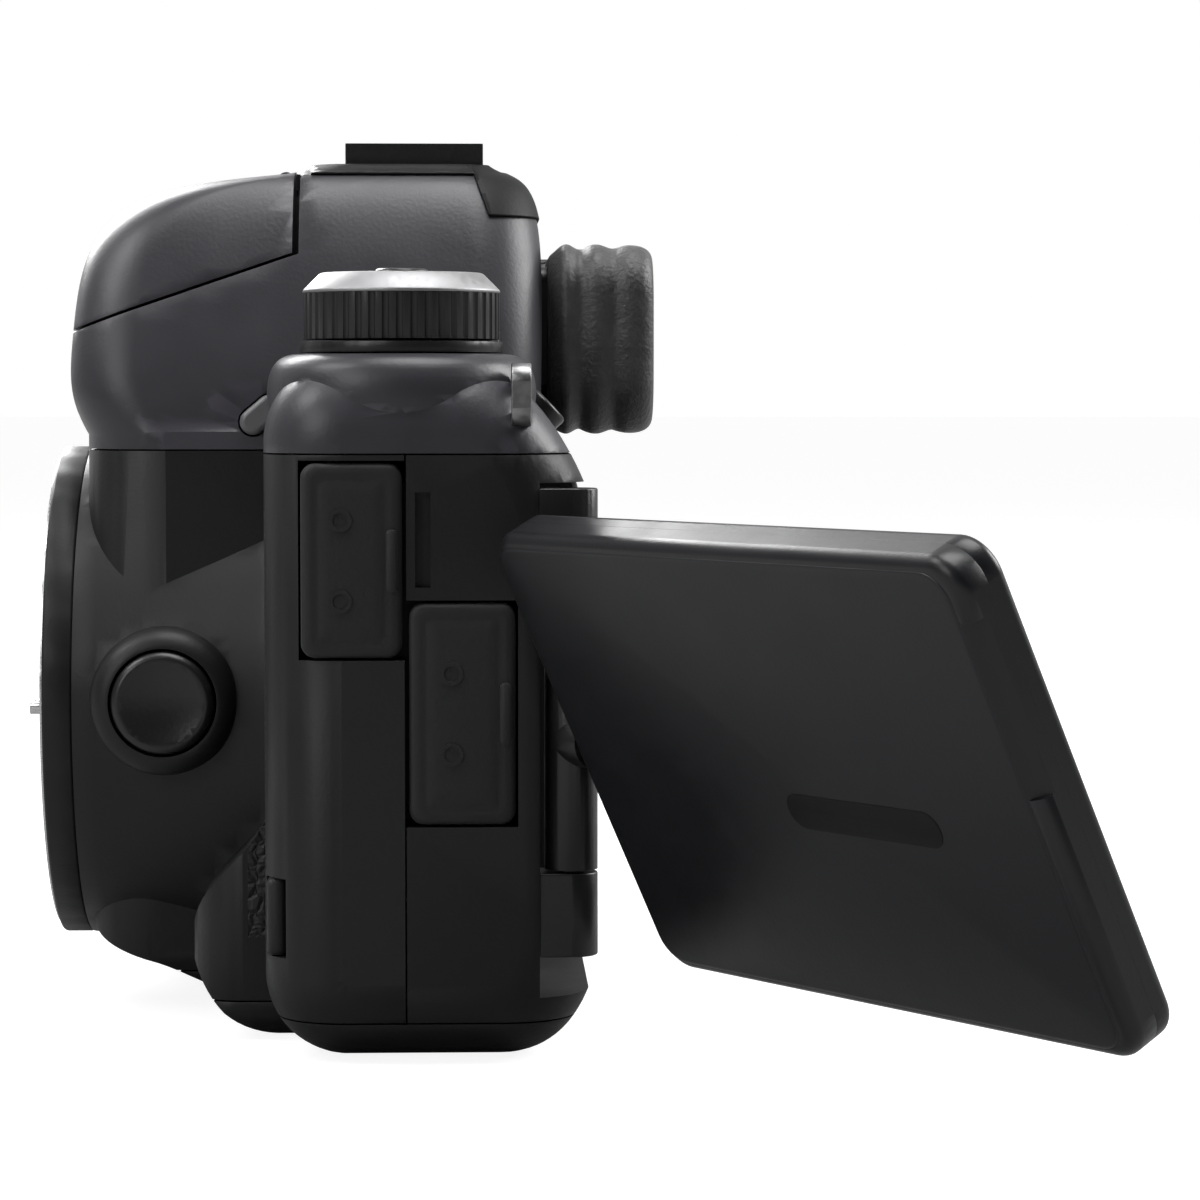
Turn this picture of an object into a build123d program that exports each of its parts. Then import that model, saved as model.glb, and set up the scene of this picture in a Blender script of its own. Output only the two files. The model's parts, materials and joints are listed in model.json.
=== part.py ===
from build123d import *
from math import cos, radians, sin
import os

os.makedirs("parts", exist_ok=True)

# A digital single-lens reflex camera with no lens, its vari-angle screen swung out and tilted.
# Millimetres. The origin is the mouth of the tripod socket, under the lens axis, on the base.
# +X is the camera's own left, the side of the mode dial. +Y is the back. +Z is up.

# ---- casing ----
body_left = 61.5
body_right = -83.0
body_front = -9.5
body_back = 29.0
shoulder_z = 79.0
corner_left = 9.0
corner_right = 7.0
wall = 2.2
skin = 1.0
seam_y = 6.6
base_seam_z = 4.5
top_seam_z = 68.2
gap = 0.3

# ---- lens mount ----
lens_z = 37.6
mount_front = -37.5
housing_front = -33.6
collar_radius = 30.7
ring_radius = 29.8
throat_radius = 27.0
throat_length = 1.5
undercut_radius = 27.5
lug_radius = 25.2
lug_thick = 1.4
lug_setback = 0.6
pin_circle = 28.4

# ---- hump: height, half width, front, back and corner radius of each level ----
hump_levels = [
    (70.0, 29.0, -32.4, 22.2, 10.0),
    (81.5, 26.5, -34.4, 22.6, 8.5),
    (91.5, 22.5, -33.0, 22.6, 9.0),
    (97.0, 19.5, -29.2, 22.0, 9.0),
    (100.6, 16.5, -20.5, 20.4, 8.0),
    (102.8, 13.0, -6.0, 17.4, 6.0),
]

# ---- grip ----
grip_front = -41.0
grip_width = 37.0
grip_slope_low = (-31.0, 69.5)
grip_slope_high = (-4.0, 78.5)

# ---- chin under the lens mount ----
foot_left = 44.0
foot_right = -34.0
chin_half_width = 21.0

# ---- vari-angle screen ----
hinge_x = 58.2
hinge_y = 25.06
hinge_z = 36.2
screen_open = 146.7
screen_tilt = 26.9
panel_start = 5.4
panel_width = 76.9
panel_height = 55.3
panel_thick = 6.0
recess_floor = 21.5
recess_right = -25.2
recess_low = 7.4
recess_high = 65.0

# ---- mode dial ----
dial_x = 46.0
dial_y = 6.0
dial_radius = 11.2
dial_low = 81.1
dial_high = 88.6
dial_shaft = 3.4
plinth_high = 79.4

# ---- quick dial on the back ----
quick_x = -53.0
quick_z = 36.0
quick_radius = 14.5
hub_radius = 9.5
set_radius = 7.7

# ---- command dial on the grip ----
wheel_x = -66.0
wheel_y = -9.0
wheel_z = 71.9
wheel_radius = 7.6
wheel_half_width = 3.2
shutter_point = (-66.0, -23.3, 72.07)

# ---- mirror ----
mirror_y = 2.0
mirror_rise = 13.0
mirror_length = 27.0
mirror_half_width = 17.6
sub_along = 15.0
sub_below = 2.0
sub_length = 11.0
sub_half_width = 14.6

# ---- pop-up flash: its parting line rises to the back, and its hinge is at the top ----
part_low = (-40.0, 80.6)
part_high = (-7.6, 91.9)
flash_hinge_y = -8.9
flash_hinge_z = 101.3
well_back = -6.8

# ---- doors: low and high corner across the opening ----
front_port = (-5.0, 6.2, 45.6, 67.2)
rear_port = (7.0, 18.8, 27.0, 51.7)
card_opening = (7.0, 22.0, 24.0, 60.0)
battery_opening = (-79.0, -55.0, -36.0, 5.0)

# ---- push buttons on the back: a point on the casing, and how far its face leans up from +Y ----
rear_buttons = {
    "button_menu": ((41.0, 22.2, 72.9), 43.0),
    "button_ae_lock": ((-63.0, 27.4, 63.2), 19.6),
    "button_info": ((-36.0, 29.0, 56.0), 0.0),
    "button_playback": ((-36.0, 29.0, 17.0), 0.0),
}
rear_button_radius = 2.6
top_button_point = (-50.0, -1.4)


def block(x0, x1, y0, y1, z0, z1, mode=Mode.ADD):
    """A box between two corners, in the part being built."""
    with Locations(((x0 + x1) / 2, (y0 + y1) / 2, (z0 + z1) / 2)):
        Box(x1 - x0, y1 - y0, z1 - z0, mode=mode)


slope_run = grip_slope_high[0] - grip_slope_low[0]
slope_rise = grip_slope_high[1] - grip_slope_low[1]
slope_normal = Vector(0, -slope_rise, slope_run).normalized()


def camera_form(inset):
    """The outside of the casing, moved inwards by inset."""
    front = body_front + inset
    back = body_back - inset
    top = shoulder_z - inset
    with BuildPart() as main_block:
        with BuildSketch(Plane.YZ.offset(body_right + inset)):
            with BuildLine():
                Line((0, inset), (17, inset))
                Bezier((17, inset), (25 - inset / 2, inset), (back, 7 + inset / 2), (back, 19))
                Line((back, 19), (back, 55))
                Bezier((back, 55), (back, 64 - inset / 3), (21 - inset / 3, top), (12, top))
                Line((12, top), (0, top))
                RadiusArc((0, top), (front, shoulder_z - 9.5), inset - 9.5)
                Line((front, shoulder_z - 9.5), (front, 9.5))
                RadiusArc((front, 9.5), (0, inset), inset - 9.5)
            make_face()
        extrude(amount=body_left - body_right - 2 * inset)
        fillet(main_block.faces().sort_by(Axis.X)[-1].edges(), corner_left - inset)
        fillet(main_block.faces().sort_by(Axis.X)[0].edges(), corner_right - inset)

    grip_face = grip_front + inset
    lean = Vector(-slope_normal.Y, -slope_normal.Z) * inset
    slope_low = Vector(*grip_slope_low) + lean
    slope_high = (grip_slope_high[0] + inset * 0.162, grip_slope_high[1] - inset)
    with BuildPart() as grip:
        with BuildSketch(Plane.YZ.offset(body_right + inset)):
            with BuildLine():
                Line((12, inset), (grip_front + 7, inset))
                RadiusArc((grip_front + 7, inset), (grip_face, 7), 7 - inset)
                Line((grip_face, 7), (grip_face, 50))
                Bezier(
                    (grip_face, 50),
                    (grip_face, 60),
                    (slope_low.X - 7.5, slope_low.Y - 2.5),
                    (slope_low.X, slope_low.Y),
                )
                Line((slope_low.X, slope_low.Y), slope_high)
                Line(slope_high, (12, slope_high[1]))
                Line((12, slope_high[1]), (12, inset))
            make_face()
        extrude(amount=grip_width - 2 * inset)
        outer_end = grip.faces().sort_by(Axis.X)[0].edges()
        fillet(outer_end.filter_by(lambda e: e.center().Y < -3 or e.center().Z < 4), 6.9 - inset)
        inner_end = grip.faces().sort_by(Axis.X)[-1].edges()
        fillet(inner_end.filter_by(lambda e: e.center().Y < -6), 8 - inset)

    with BuildPart() as housing:
        with BuildSketch(Plane.XY):
            with BuildLine():
                Line((0, housing_front + inset), (collar_radius - inset, housing_front + inset))
                ThreePointArc(
                    (collar_radius - inset, housing_front + inset),
                    (32.8 - inset, -21.0),
                    (37.0 - inset, -4.0),
                )
                Line((37.0 - inset, -4.0), (0, -4.0))
                Line((0, -4.0), (0, housing_front + inset))
            make_face()
        revolve(axis=Axis.Y)
    housing_part = Pos(0, 0, lens_z) * housing.part

    with BuildPart() as upper_housing:
        with BuildSketch(Plane.XY.offset(lens_z)):
            with Locations((0, -16.2 + inset / 2)):
                Rectangle(58 - 2 * inset, 32.4 - inset)
        extrude(amount=70.4 - lens_z - inset)
        front_corners = upper_housing.edges().filter_by(Axis.Z).sort_by(Axis.Y)[:2]
        fillet(front_corners, 10 - inset)

    with BuildPart() as hump:
        for z, half_width, front, back, corner in hump_levels:
            with BuildSketch(Plane.XY.offset(z - inset)):
                with Locations((0, (front + back) / 2)):
                    RectangleRounded(2 * (half_width - inset), back - front - 2 * inset, corner - inset)
        loft()

    with BuildPart() as foot:
        with BuildSketch(Plane.YZ.offset(foot_right + inset)):
            with BuildLine():
                Line((0, inset), (-7.0, inset))
                Bezier((-7.0, inset), (-13.0 + inset, inset), (-16.8 + inset, 4.0), (-18.6 + inset, 9.0))
                Line((-18.6 + inset, 9.0), (-18.6 + inset, 13.0))
                Bezier((-18.6 + inset, 13.0), (-17.6 + inset, 19.0), (-11.0 + inset, 21.0), (-9.0, 28.0))
                Line((-9.0, 28.0), (0, 28.0))
                Line((0, 28.0), (0, inset))
            make_face()
        extrude(amount=foot_left - foot_right - 2 * inset)
        foot_width = foot_left - foot_right - 2 * inset
        with BuildSketch(Plane.XZ):
            with Locations(((foot_left + foot_right) / 2, 20.0)):
                RectangleRounded(foot_width, 40 - 2 * inset, 5.0 - inset)
        extrude(amount=30, mode=Mode.INTERSECT)
        with BuildSketch(Plane.XY):
            with Locations(((foot_left + foot_right) / 2, 1.4)):
                RectangleRounded(foot_width, 40 - 2 * inset, 6.0 - inset)
        extrude(amount=40, mode=Mode.INTERSECT)

    with BuildPart() as chin:
        with BuildSketch(Plane.YZ.offset(inset - chin_half_width)):
            with BuildLine():
                Line((-6.0, 1.2 + inset), (-14.0, 1.2 + inset))
                Bezier((-14.0, 1.2 + inset), (-18.5, 2.0 + inset), (-21.0, 4.8 + inset), (-26.0, 6.0 + inset))
                Bezier(
                    (-26.0, 6.0 + inset),
                    (-30.0, 7.2 + inset),
                    (-33.0 + inset, 8.4),
                    (-33.0 + inset, 11.5),
                )
                Line((-33.0 + inset, 11.5), (-33.0 + inset, 17.0))
                Line((-33.0 + inset, 17.0), (-6.0, 17.0))
                Line((-6.0, 17.0), (-6.0, 1.2 + inset))
            make_face()
        extrude(amount=2 * (chin_half_width - inset))
        with BuildSketch(Plane.XZ.offset(6.0)):
            with Locations((0, 16.0)):
                RectangleRounded(2 * (chin_half_width - inset), 30 - 2 * inset, 6.0 - inset)
        extrude(amount=30, mode=Mode.INTERSECT)
        with BuildSketch(Plane.XY):
            with Locations((0, -13.0)):
                RectangleRounded(2 * (chin_half_width - inset), 40 - 2 * inset, 9.0 - inset)
        extrude(amount=20, mode=Mode.INTERSECT)

    with BuildPart() as dial_plinth:
        with BuildSketch(Plane.XZ):
            with BuildLine():
                Line((0, 69.0), (12.0 - inset, 69.0))
                Bezier((12.0 - inset, 69.0), (14.4 - inset, 70.6), (15.4 - inset, 72.6), (15.4 - inset, 75.0))
                Bezier(
                    (15.4 - inset, 75.0),
                    (15.4 - inset, 77.6 - inset),
                    (14.4 - inset, plinth_high - inset),
                    (11.9 - inset, plinth_high - inset),
                )
                Line((11.9 - inset, plinth_high - inset), (0, plinth_high - inset))
                Line((0, plinth_high - inset), (0, 69.0))
            make_face()
        revolve(axis=Axis.Z)
    dial_plinth_part = Pos(dial_x, dial_y, 0) * dial_plinth.part

    with BuildPart() as release_boss:
        with BuildSketch(Plane.YZ.offset(25)):
            with Locations((-22.4, lens_z + 1)):
                Circle(8.8 - inset)
        extrude(amount=11.4 - inset)
        fillet(release_boss.faces().sort_by(Axis.X)[-1].edges(), 3.0 - inset)

    return (
        main_block.part
        + grip.part
        + housing_part
        + upper_housing.part
        + hump.part
        + foot.part
        + chin.part
        + dial_plinth_part
        + release_boss.part
    )


outer_form = camera_form(0)
skin_form = camera_form(skin)
inner_form = camera_form(wall)

open_angle = radians(screen_open)
tilt_angle = radians(screen_tilt)
along = Vector(-cos(open_angle), sin(open_angle), 0)
cover_out = Vector(
    sin(open_angle) * cos(tilt_angle),
    cos(open_angle) * cos(tilt_angle),
    -sin(tilt_angle),
)
hinge_point = Vector(hinge_x, hinge_y, hinge_z)
panel_plane = Plane(origin=hinge_point, x_dir=along, z_dir=cover_out)
panel_middle = panel_start + panel_width / 2
shaft_plane = Plane(origin=hinge_point, x_dir=cover_out, z_dir=along)

shutter_plane = Plane(origin=shutter_point, x_dir=(1, 0, 0), z_dir=slope_normal)

part_slope = (part_high[1] - part_low[1]) / (part_high[0] - part_low[0])
part_normal = Vector(0, -part_slope, 1).normalized()


def part_z(y):
    """The height of the flash's parting line."""
    return part_low[1] + (y - part_low[0]) * part_slope


flash_window_y = -23.5
flash_plane = Plane(origin=(0, flash_window_y, part_z(flash_window_y)), x_dir=(1, 0, 0), z_dir=part_normal)


def above_parting(rise, back):
    """The space over the flash's parting line raised by rise, in front of back."""
    with BuildPart() as space:
        with BuildSketch(Plane.YZ.offset(-32)):
            Polygon(
                (-44, part_z(-44) + rise),
                (back, part_z(back) + rise),
                (back, 112),
                (-44, 112),
                align=None,
            )
        extrude(amount=64)
    return space.part


def button_plane(point, lean):
    """The plane of a button's face on the back of the casing."""
    return Plane(origin=point, x_dir=(-1, 0, 0), z_dir=(0, cos(radians(lean)), sin(radians(lean))))


def button_wells():
    """The holes for the buttons on the back."""
    with BuildPart() as wells:
        for point, lean in rear_buttons.values():
            with BuildSketch(button_plane(point, lean).offset(-5.2)):
                Circle(rear_button_radius + 0.25)
            extrude(amount=9)
    return wells.part


def ring_cuts(count, centre_radius, cut_radius, length, plane):
    """Grip grooves round a dial, as one part to cut away."""
    with BuildPart() as cuts:
        with BuildSketch(plane):
            with PolarLocations(centre_radius, count):
                Circle(cut_radius)
        extrude(amount=length)
    return cuts.part


# ---- lens mount ----
with BuildPart() as mount_collar:
    with BuildSketch(Plane.XZ.offset(-housing_front)):
        with Locations((0, lens_z)):
            Circle(collar_radius)
            Circle(ring_radius + 0.05, mode=Mode.SUBTRACT)
    extrude(amount=housing_front - mount_front - 0.3)
mount_collar.part.label = "mount_collar"
export_step(mount_collar.part, "parts/mount_collar.step")

mount_screw_points = [
    (pin_circle * cos(radians(angle)), lens_z + pin_circle * sin(radians(angle)))
    for angle in (35, 110, 180, 250, 320)
]
undercut_y = mount_front + throat_length
with BuildPart() as lens_mount_ring:
    with BuildSketch(Plane.XZ.offset(-housing_front)):
        with Locations((0, lens_z)):
            Circle(ring_radius)
            Circle(throat_radius, mode=Mode.SUBTRACT)
    extrude(amount=housing_front - mount_front)
    with BuildSketch(Plane.XZ.offset(-housing_front)):
        with Locations((0, lens_z)):
            Circle(undercut_radius)
    extrude(amount=housing_front - undercut_y, mode=Mode.SUBTRACT)
    with BuildSketch(Plane.XZ.offset(-undercut_y - lug_setback - lug_thick)):
        with Locations((0, lens_z)):
            Circle(undercut_radius + 0.1)
            Circle(lug_radius, mode=Mode.SUBTRACT)
            for gap_middle in (30, 150, 270):
                with Locations(Rotation(0, 0, gap_middle)):
                    Polygon((0, 0), (40, -26), (40, 26), align=None, mode=Mode.SUBTRACT)
    extrude(amount=lug_thick)
    with BuildSketch(Plane.XZ.offset(-mount_front)):
        with Locations(*mount_screw_points):
            Circle(1.05)
    extrude(amount=-0.8, mode=Mode.SUBTRACT)
    with BuildSketch(Plane.XZ.offset(-mount_front)):
        with Locations((pin_circle, lens_z)):
            Circle(0.95)
    extrude(amount=-6, mode=Mode.SUBTRACT)
lens_mount_ring.part.label = "lens_mount_ring"
export_step(lens_mount_ring.part, "parts/lens_mount_ring.step")

with BuildPart() as mount_contacts:
    block(-8.6, 8.6, -35.3, -31.3, lens_z - 24.6, lens_z - 22.2)
    for index in range(7):
        block(2.2 * index - 7.3, 2.2 * index - 5.9, -35.6, -35.3, lens_z - 24.3, lens_z - 22.5)
mount_contacts.part.label = "mount_contacts"
export_step(mount_contacts.part, "parts/mount_contacts.step")

with BuildPart() as lens_lock_pin:
    with BuildSketch(Plane.XZ.offset(31.6)):
        with Locations((pin_circle, lens_z)):
            Circle(0.9)
    extrude(amount=7.1)
lens_lock_pin.part.label = "lens_lock_pin"
export_step(lens_lock_pin.part, "parts/lens_lock_pin.step")

release_y = -22.4
release_z = lens_z + 1
with BuildPart() as lens_release_button:
    with BuildSketch(Plane.YZ.offset(30.4)):
        with Locations((release_y, release_z)):
            Circle(6.1)
    extrude(amount=6.6)
    fillet(lens_release_button.faces().sort_by(Axis.X)[-1].edges(), 1.2)
    with Locations((30.4 + 6.6 + 17.2, release_y, release_z)):
        Sphere(18, mode=Mode.SUBTRACT)
lens_release_button.part.label = "lens_release_button"
export_step(lens_release_button.part, "parts/lens_release_button.step")

# ---- optics inside ----
box_low = lens_z - 18
box_high = lens_z + 18.6
with BuildPart() as mirror_box:
    block(-21.5, 21.5, -31.2, 6.0, box_low, box_high)
    with BuildSketch(Plane.XZ.offset(29.6)):
        with Locations((0, lens_z)):
            Circle(26)
    extrude(amount=1.6)
    block(-19, 19, -29.6, 4.6, box_low + 2, box_high - 2, mode=Mode.SUBTRACT)
    block(-16, 16, -33, -29, lens_z - 14, lens_z + 14, mode=Mode.SUBTRACT)
    block(-13, 13, 4, 7, lens_z - 9.5, lens_z + 9.5, mode=Mode.SUBTRACT)
    block(-13.5, 13.5, -18.5, -3.5, box_high - 3, box_high + 1, mode=Mode.SUBTRACT)
    with BuildSketch(Plane.YZ.offset(-22)):
        with Locations((mirror_y, lens_z + mirror_rise)):
            Circle(1.06)
    extrude(amount=44, mode=Mode.SUBTRACT)
mirror_box.part.label = "mirror_box"
export_step(mirror_box.part, "parts/mirror_box.step")

mirror_pivot = Vector(0, mirror_y, lens_z + mirror_rise)
mirror_down = Vector(0, -1, -1).normalized()
mirror_face = Vector(0, -1, 1).normalized()
mirror_plane = Plane(origin=mirror_pivot, x_dir=(1, 0, 0), z_dir=mirror_face)
with BuildPart() as main_mirror:
    with BuildSketch(mirror_plane.offset(-0.8)):
        with Locations((0, -mirror_length / 2)):
            RectangleRounded(2 * mirror_half_width, mirror_length, 1)
    extrude(amount=1.6)
    with BuildSketch(Plane.YZ.offset(-20.4)):
        with Locations((mirror_pivot.Y, mirror_pivot.Z)):
            Circle(1.0)
    extrude(amount=40.8)
    for side in (-1, 1):
        with BuildSketch(mirror_plane.offset(-0.8)):
            with Locations((side * 15.9, -sub_along)):
                Rectangle(1.2, 3.2)
        extrude(amount=-2.4)
    sub_hinge = mirror_pivot + mirror_down * sub_along - mirror_face * sub_below
    with BuildSketch(Plane.YZ.offset(-17)):
        with Locations((sub_hinge.Y, sub_hinge.Z)):
            Circle(0.55)
    extrude(amount=34, mode=Mode.SUBTRACT)
main_mirror.part.label = "main_mirror"
export_step(main_mirror.part, "parts/main_mirror.step")

sub_plane = Plane(origin=sub_hinge, x_dir=(1, 0, 0), z_dir=mirror_down)
with BuildPart() as sub_mirror:
    with BuildSketch(sub_plane.offset(-0.6)):
        with Locations((0, -sub_length / 2 + 0.5)):
            RectangleRounded(2 * sub_half_width, sub_length, 0.8)
    extrude(amount=1.2)
    with BuildSketch(Plane.YZ.offset(-16.4)):
        with Locations((sub_hinge.Y, sub_hinge.Z)):
            Circle(0.5)
    extrude(amount=32.8)
sub_mirror.part.label = "sub_mirror"
export_step(sub_mirror.part, "parts/sub_mirror.step")

with BuildPart() as pentaprism:
    with BuildSketch(Plane.YZ.offset(-15)):
        Polygon((-20, 56.4), (-1, 56.4), (-1, 77), (-6, 84), (-13, 82), (-20, 67), align=None)
    extrude(amount=30)
    with BuildSketch(Plane.XZ.offset(-2)):
        Polygon((-15, 56), (15, 56), (15, 69), (2, 84.5), (-2, 84.5), (-15, 69), align=None)
    extrude(amount=24, mode=Mode.INTERSECT)
pentaprism.part.label = "pentaprism"
export_step(pentaprism.part, "parts/pentaprism.step")

with BuildPart() as eyepiece_lens:
    with BuildSketch(Plane.XZ.offset(-16.5)):
        with Locations((0, 82.4)):
            RectangleRounded(19.6, 11.6, 1.5)
    extrude(amount=-3)
eyepiece_lens.part.label = "eyepiece_lens"
export_step(eyepiece_lens.part, "parts/eyepiece_lens.step")

with BuildPart() as eyepiece_frame:
    with BuildSketch(Plane.XZ.offset(-14)):
        with Locations((0, 82.4)):
            RectangleRounded(26, 16.4, 2)
    extrude(amount=-9.4)
    with BuildSketch(Plane.XZ.offset(-13)):
        with Locations((0, 82.4)):
            RectangleRounded(17.6, 9.6, 1)
    extrude(amount=-12, mode=Mode.SUBTRACT)
    with BuildSketch(Plane.XZ.offset(-16.5)):
        with Locations((0, 82.4)):
            RectangleRounded(19.6, 11.6, 1.5)
    extrude(amount=-8, mode=Mode.SUBTRACT)
eyepiece_frame.part.label = "eyepiece_frame"
export_step(eyepiece_frame.part, "parts/eyepiece_frame.step")

with BuildPart() as eyecup:
    with BuildSketch(Plane.XZ.offset(-23.4)):
        with Locations((0, 82.0)):
            RectangleRounded(31, 21.4, 5)
    with BuildSketch(Plane.XZ.offset(-29)):
        with Locations((0, 81.7)):
            RectangleRounded(36, 23.8, 6)
    with BuildSketch(Plane.XZ.offset(-36.5)):
        with Locations((0, 81.7)):
            RectangleRounded(35, 22.8, 6)
    loft()
    fillet(eyecup.faces().sort_by(Axis.Y)[-1].edges(), 1.6)
    with BuildSketch(Plane.XZ.offset(-23)):
        with Locations((0, 82.4)):
            RectangleRounded(19.6, 11.6, 1.5)
    with BuildSketch(Plane.XZ.offset(-37)):
        with Locations((0, 82.0)):
            RectangleRounded(27.4, 16.4, 4)
    loft(mode=Mode.SUBTRACT)
eyecup.part.label = "eyecup"
export_step(eyecup.part, "parts/eyecup.step")

diopter_x = -19.6
diopter_z = 90.0
with BuildPart() as diopter_knob:
    with BuildSketch(Plane.XZ.offset(-16)):
        with Locations((diopter_x, diopter_z)):
            Circle(1.6)
    extrude(amount=-7)
    with BuildSketch(Plane.XZ.offset(-22.9)):
        with Locations((diopter_x, diopter_z)):
            Circle(2.6)
            with PolarLocations(2.7, 14):
                Circle(0.28, mode=Mode.SUBTRACT)
    extrude(amount=-1.8)
diopter_knob.part.label = "diopter_knob"
export_step(diopter_knob.part, "parts/diopter_knob.step")

# ---- shutter, sensor, boards ----
with BuildPart() as shutter_frame:
    block(-17.5, 17.5, 6.3, 10.5, lens_z - 30, lens_z + 30)
    block(-14.2, 14.2, 7.1, 8.1, lens_z - 28.8, lens_z + 10.5, mode=Mode.SUBTRACT)
    block(-14.2, 14.2, 8.7, 9.7, lens_z - 10.5, lens_z + 28.8, mode=Mode.SUBTRACT)
    block(-12.5, 12.5, 5, 12, lens_z - 8.5, lens_z + 8.5, mode=Mode.SUBTRACT)
shutter_frame.part.label = "shutter_frame"
export_step(shutter_frame.part, "parts/shutter_frame.step")

with BuildPart() as first_curtain:
    block(-13.9, 13.9, 7.3, 7.9, lens_z - 9.4, lens_z + 9.4)
first_curtain.part.label = "first_curtain"
export_step(first_curtain.part, "parts/first_curtain.step")

with BuildPart() as second_curtain:
    block(-13.9, 13.9, 8.9, 9.5, lens_z + 9.1, lens_z + 27.9)
second_curtain.part.label = "second_curtain"
export_step(second_curtain.part, "parts/second_curtain.step")

with BuildPart() as image_sensor:
    block(-14, 14, 11.4, 12.8, lens_z - 10, lens_z + 10)
    block(-11.6, 11.6, 10.8, 11.4, lens_z - 7.8, lens_z + 7.8)
image_sensor.part.label = "image_sensor"
export_step(image_sensor.part, "parts/image_sensor.step")

with BuildPart() as main_board:
    block(-24, 48, 14.4, 16.0, 10, 62)
    for chip_x, chip_z, chip_size in ((-8, 48, 13), (12, 30, 16), (34, 46, 10), (34, 22, 12)):
        with Locations((chip_x, 16.7, chip_z)):
            Box(chip_size, 1.4, chip_size)
main_board.part.label = "main_board"
export_step(main_board.part, "parts/main_board.step")

with BuildPart() as chassis:
    block(-50, 50, -5, 18, 4.7, 6.3)
    for side in (-1, 1):
        block(side * 26 - 0.8, side * 26 + 0.8, -6, 13.6, 6.3, 64)
        block(side * 26 - 4.5, side * 26 + 4.5, 13.0, 13.6, 10, 60)
    with BuildSketch(Plane.XY):
        Circle(5.6)
    extrude(amount=10, mode=Mode.SUBTRACT)
chassis.part.label = "chassis"
export_step(chassis.part, "parts/chassis.step")

socket_radius = 3.175
with BuildPart() as tripod_socket:
    with BuildSketch(Plane.XY):
        Circle(8.4)
    extrude(amount=1.6)
    with BuildSketch(Plane.XY.offset(1.6)):
        Circle(5.5)
    extrude(amount=5.6)
    with BuildSketch(Plane.XY):
        Circle(socket_radius)
    extrude(amount=5.5, mode=Mode.SUBTRACT)
tripod_socket.part.label = "tripod_socket"
export_step(tripod_socket.part, "parts/tripod_socket.step")

case_screw_points = [(-30, 13), (28, 13), (-28, -12), (28, -12), (48, 4), (-50, 12)]
with BuildPart() as screws:
    with BuildSketch(Plane.XY.offset(0.1)):
        with Locations(*case_screw_points):
            Circle(1.7)
    extrude(amount=1.2)
    with BuildSketch(Plane.XY):
        with Locations(*case_screw_points):
            Rectangle(2.0, 0.5)
            Rectangle(0.5, 2.0)
    extrude(amount=0.7, mode=Mode.SUBTRACT)
    with BuildSketch(Plane.XZ.offset(-mount_front - 0.05)):
        with Locations(*mount_screw_points):
            Circle(1.05)
    extrude(amount=-0.75)
    with BuildSketch(Plane.XZ.offset(-mount_front)):
        with Locations(*mount_screw_points):
            Rectangle(1.2, 0.3)
            Rectangle(0.3, 1.2)
    extrude(amount=-0.4, mode=Mode.SUBTRACT)
screws.part.label = "screws"
export_step(screws.part, "parts/screws.step")

# ---- battery and card ----
with BuildPart() as battery:
    block(-77, -57, -34.5, 3.5, 3.2, 59)
    fillet(battery.edges().filter_by(Axis.Z), 2.5)
battery.part.label = "battery"
export_step(battery.part, "parts/battery.step")

with BuildPart() as memory_card:
    block(-79.8, -48, 13.9, 16.0, 30, 54)
memory_card.part.label = "memory_card"
export_step(memory_card.part, "parts/memory_card.step")

with BuildPart() as terminal_block:
    block(52, 58.4, -3.4, 17.4, 29, 65)
    for jack_y, jack_z in ((1, 51.5), (1, 61.0)):
        with BuildSketch(Plane.YZ.offset(58.4)):
            with Locations((jack_y, jack_z)):
                Circle(2.6)
        extrude(amount=-5, mode=Mode.SUBTRACT)
    for jack_z in (34, 44):
        block(54, 59, 10.4, 15.4, jack_z - 3.4, jack_z + 3.4, mode=Mode.SUBTRACT)
terminal_block.part.label = "terminal_block"
export_step(terminal_block.part, "parts/terminal_block.step")

# ---- doors and rubber covers, cut from the casing so that they follow it ----
with BuildPart() as terminal_cover_front:
    add(outer_form)
    y0, y1, z0, z1 = front_port
    block(58.8, 63, y0, y1, z0, z1, mode=Mode.INTERSECT)
terminal_cover_front.part.label = "terminal_cover_front"
export_step(terminal_cover_front.part, "parts/terminal_cover_front.step")

with BuildPart() as terminal_cover_rear:
    add(outer_form)
    y0, y1, z0, z1 = rear_port
    block(58.8, 63, y0, y1, z0, z1, mode=Mode.INTERSECT)
terminal_cover_rear.part.label = "terminal_cover_rear"
export_step(terminal_cover_rear.part, "parts/terminal_cover_rear.step")

with BuildPart() as card_door:
    add(outer_form)
    y0, y1, z0, z1 = card_opening
    block(-84, -80.9, y0, y1, z0, z1, mode=Mode.INTERSECT)
card_door.part.label = "card_door"
export_step(card_door.part, "parts/card_door.step")

latch_x = -76.0
latch_y = -15.0
with BuildPart() as battery_door:
    x0, x1, y0, y1 = battery_opening
    block(x0, x1, y0, y1, 0, wall)
    fillet(battery_door.edges().filter_by(Axis.Z), 1.5)
    block(latch_x - 2.2, latch_x + 3.2, latch_y - 4.3, latch_y + 4.3, -1, 1.4, mode=Mode.SUBTRACT)
battery_door.part.label = "battery_door"
export_step(battery_door.part, "parts/battery_door.step")

with BuildPart() as battery_latch:
    block(latch_x - 1.9, latch_x + 1.1, latch_y - 4, latch_y + 4, 0.1, 1.2)
battery_latch.part.label = "battery_latch"
export_step(battery_latch.part, "parts/battery_latch.step")

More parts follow.
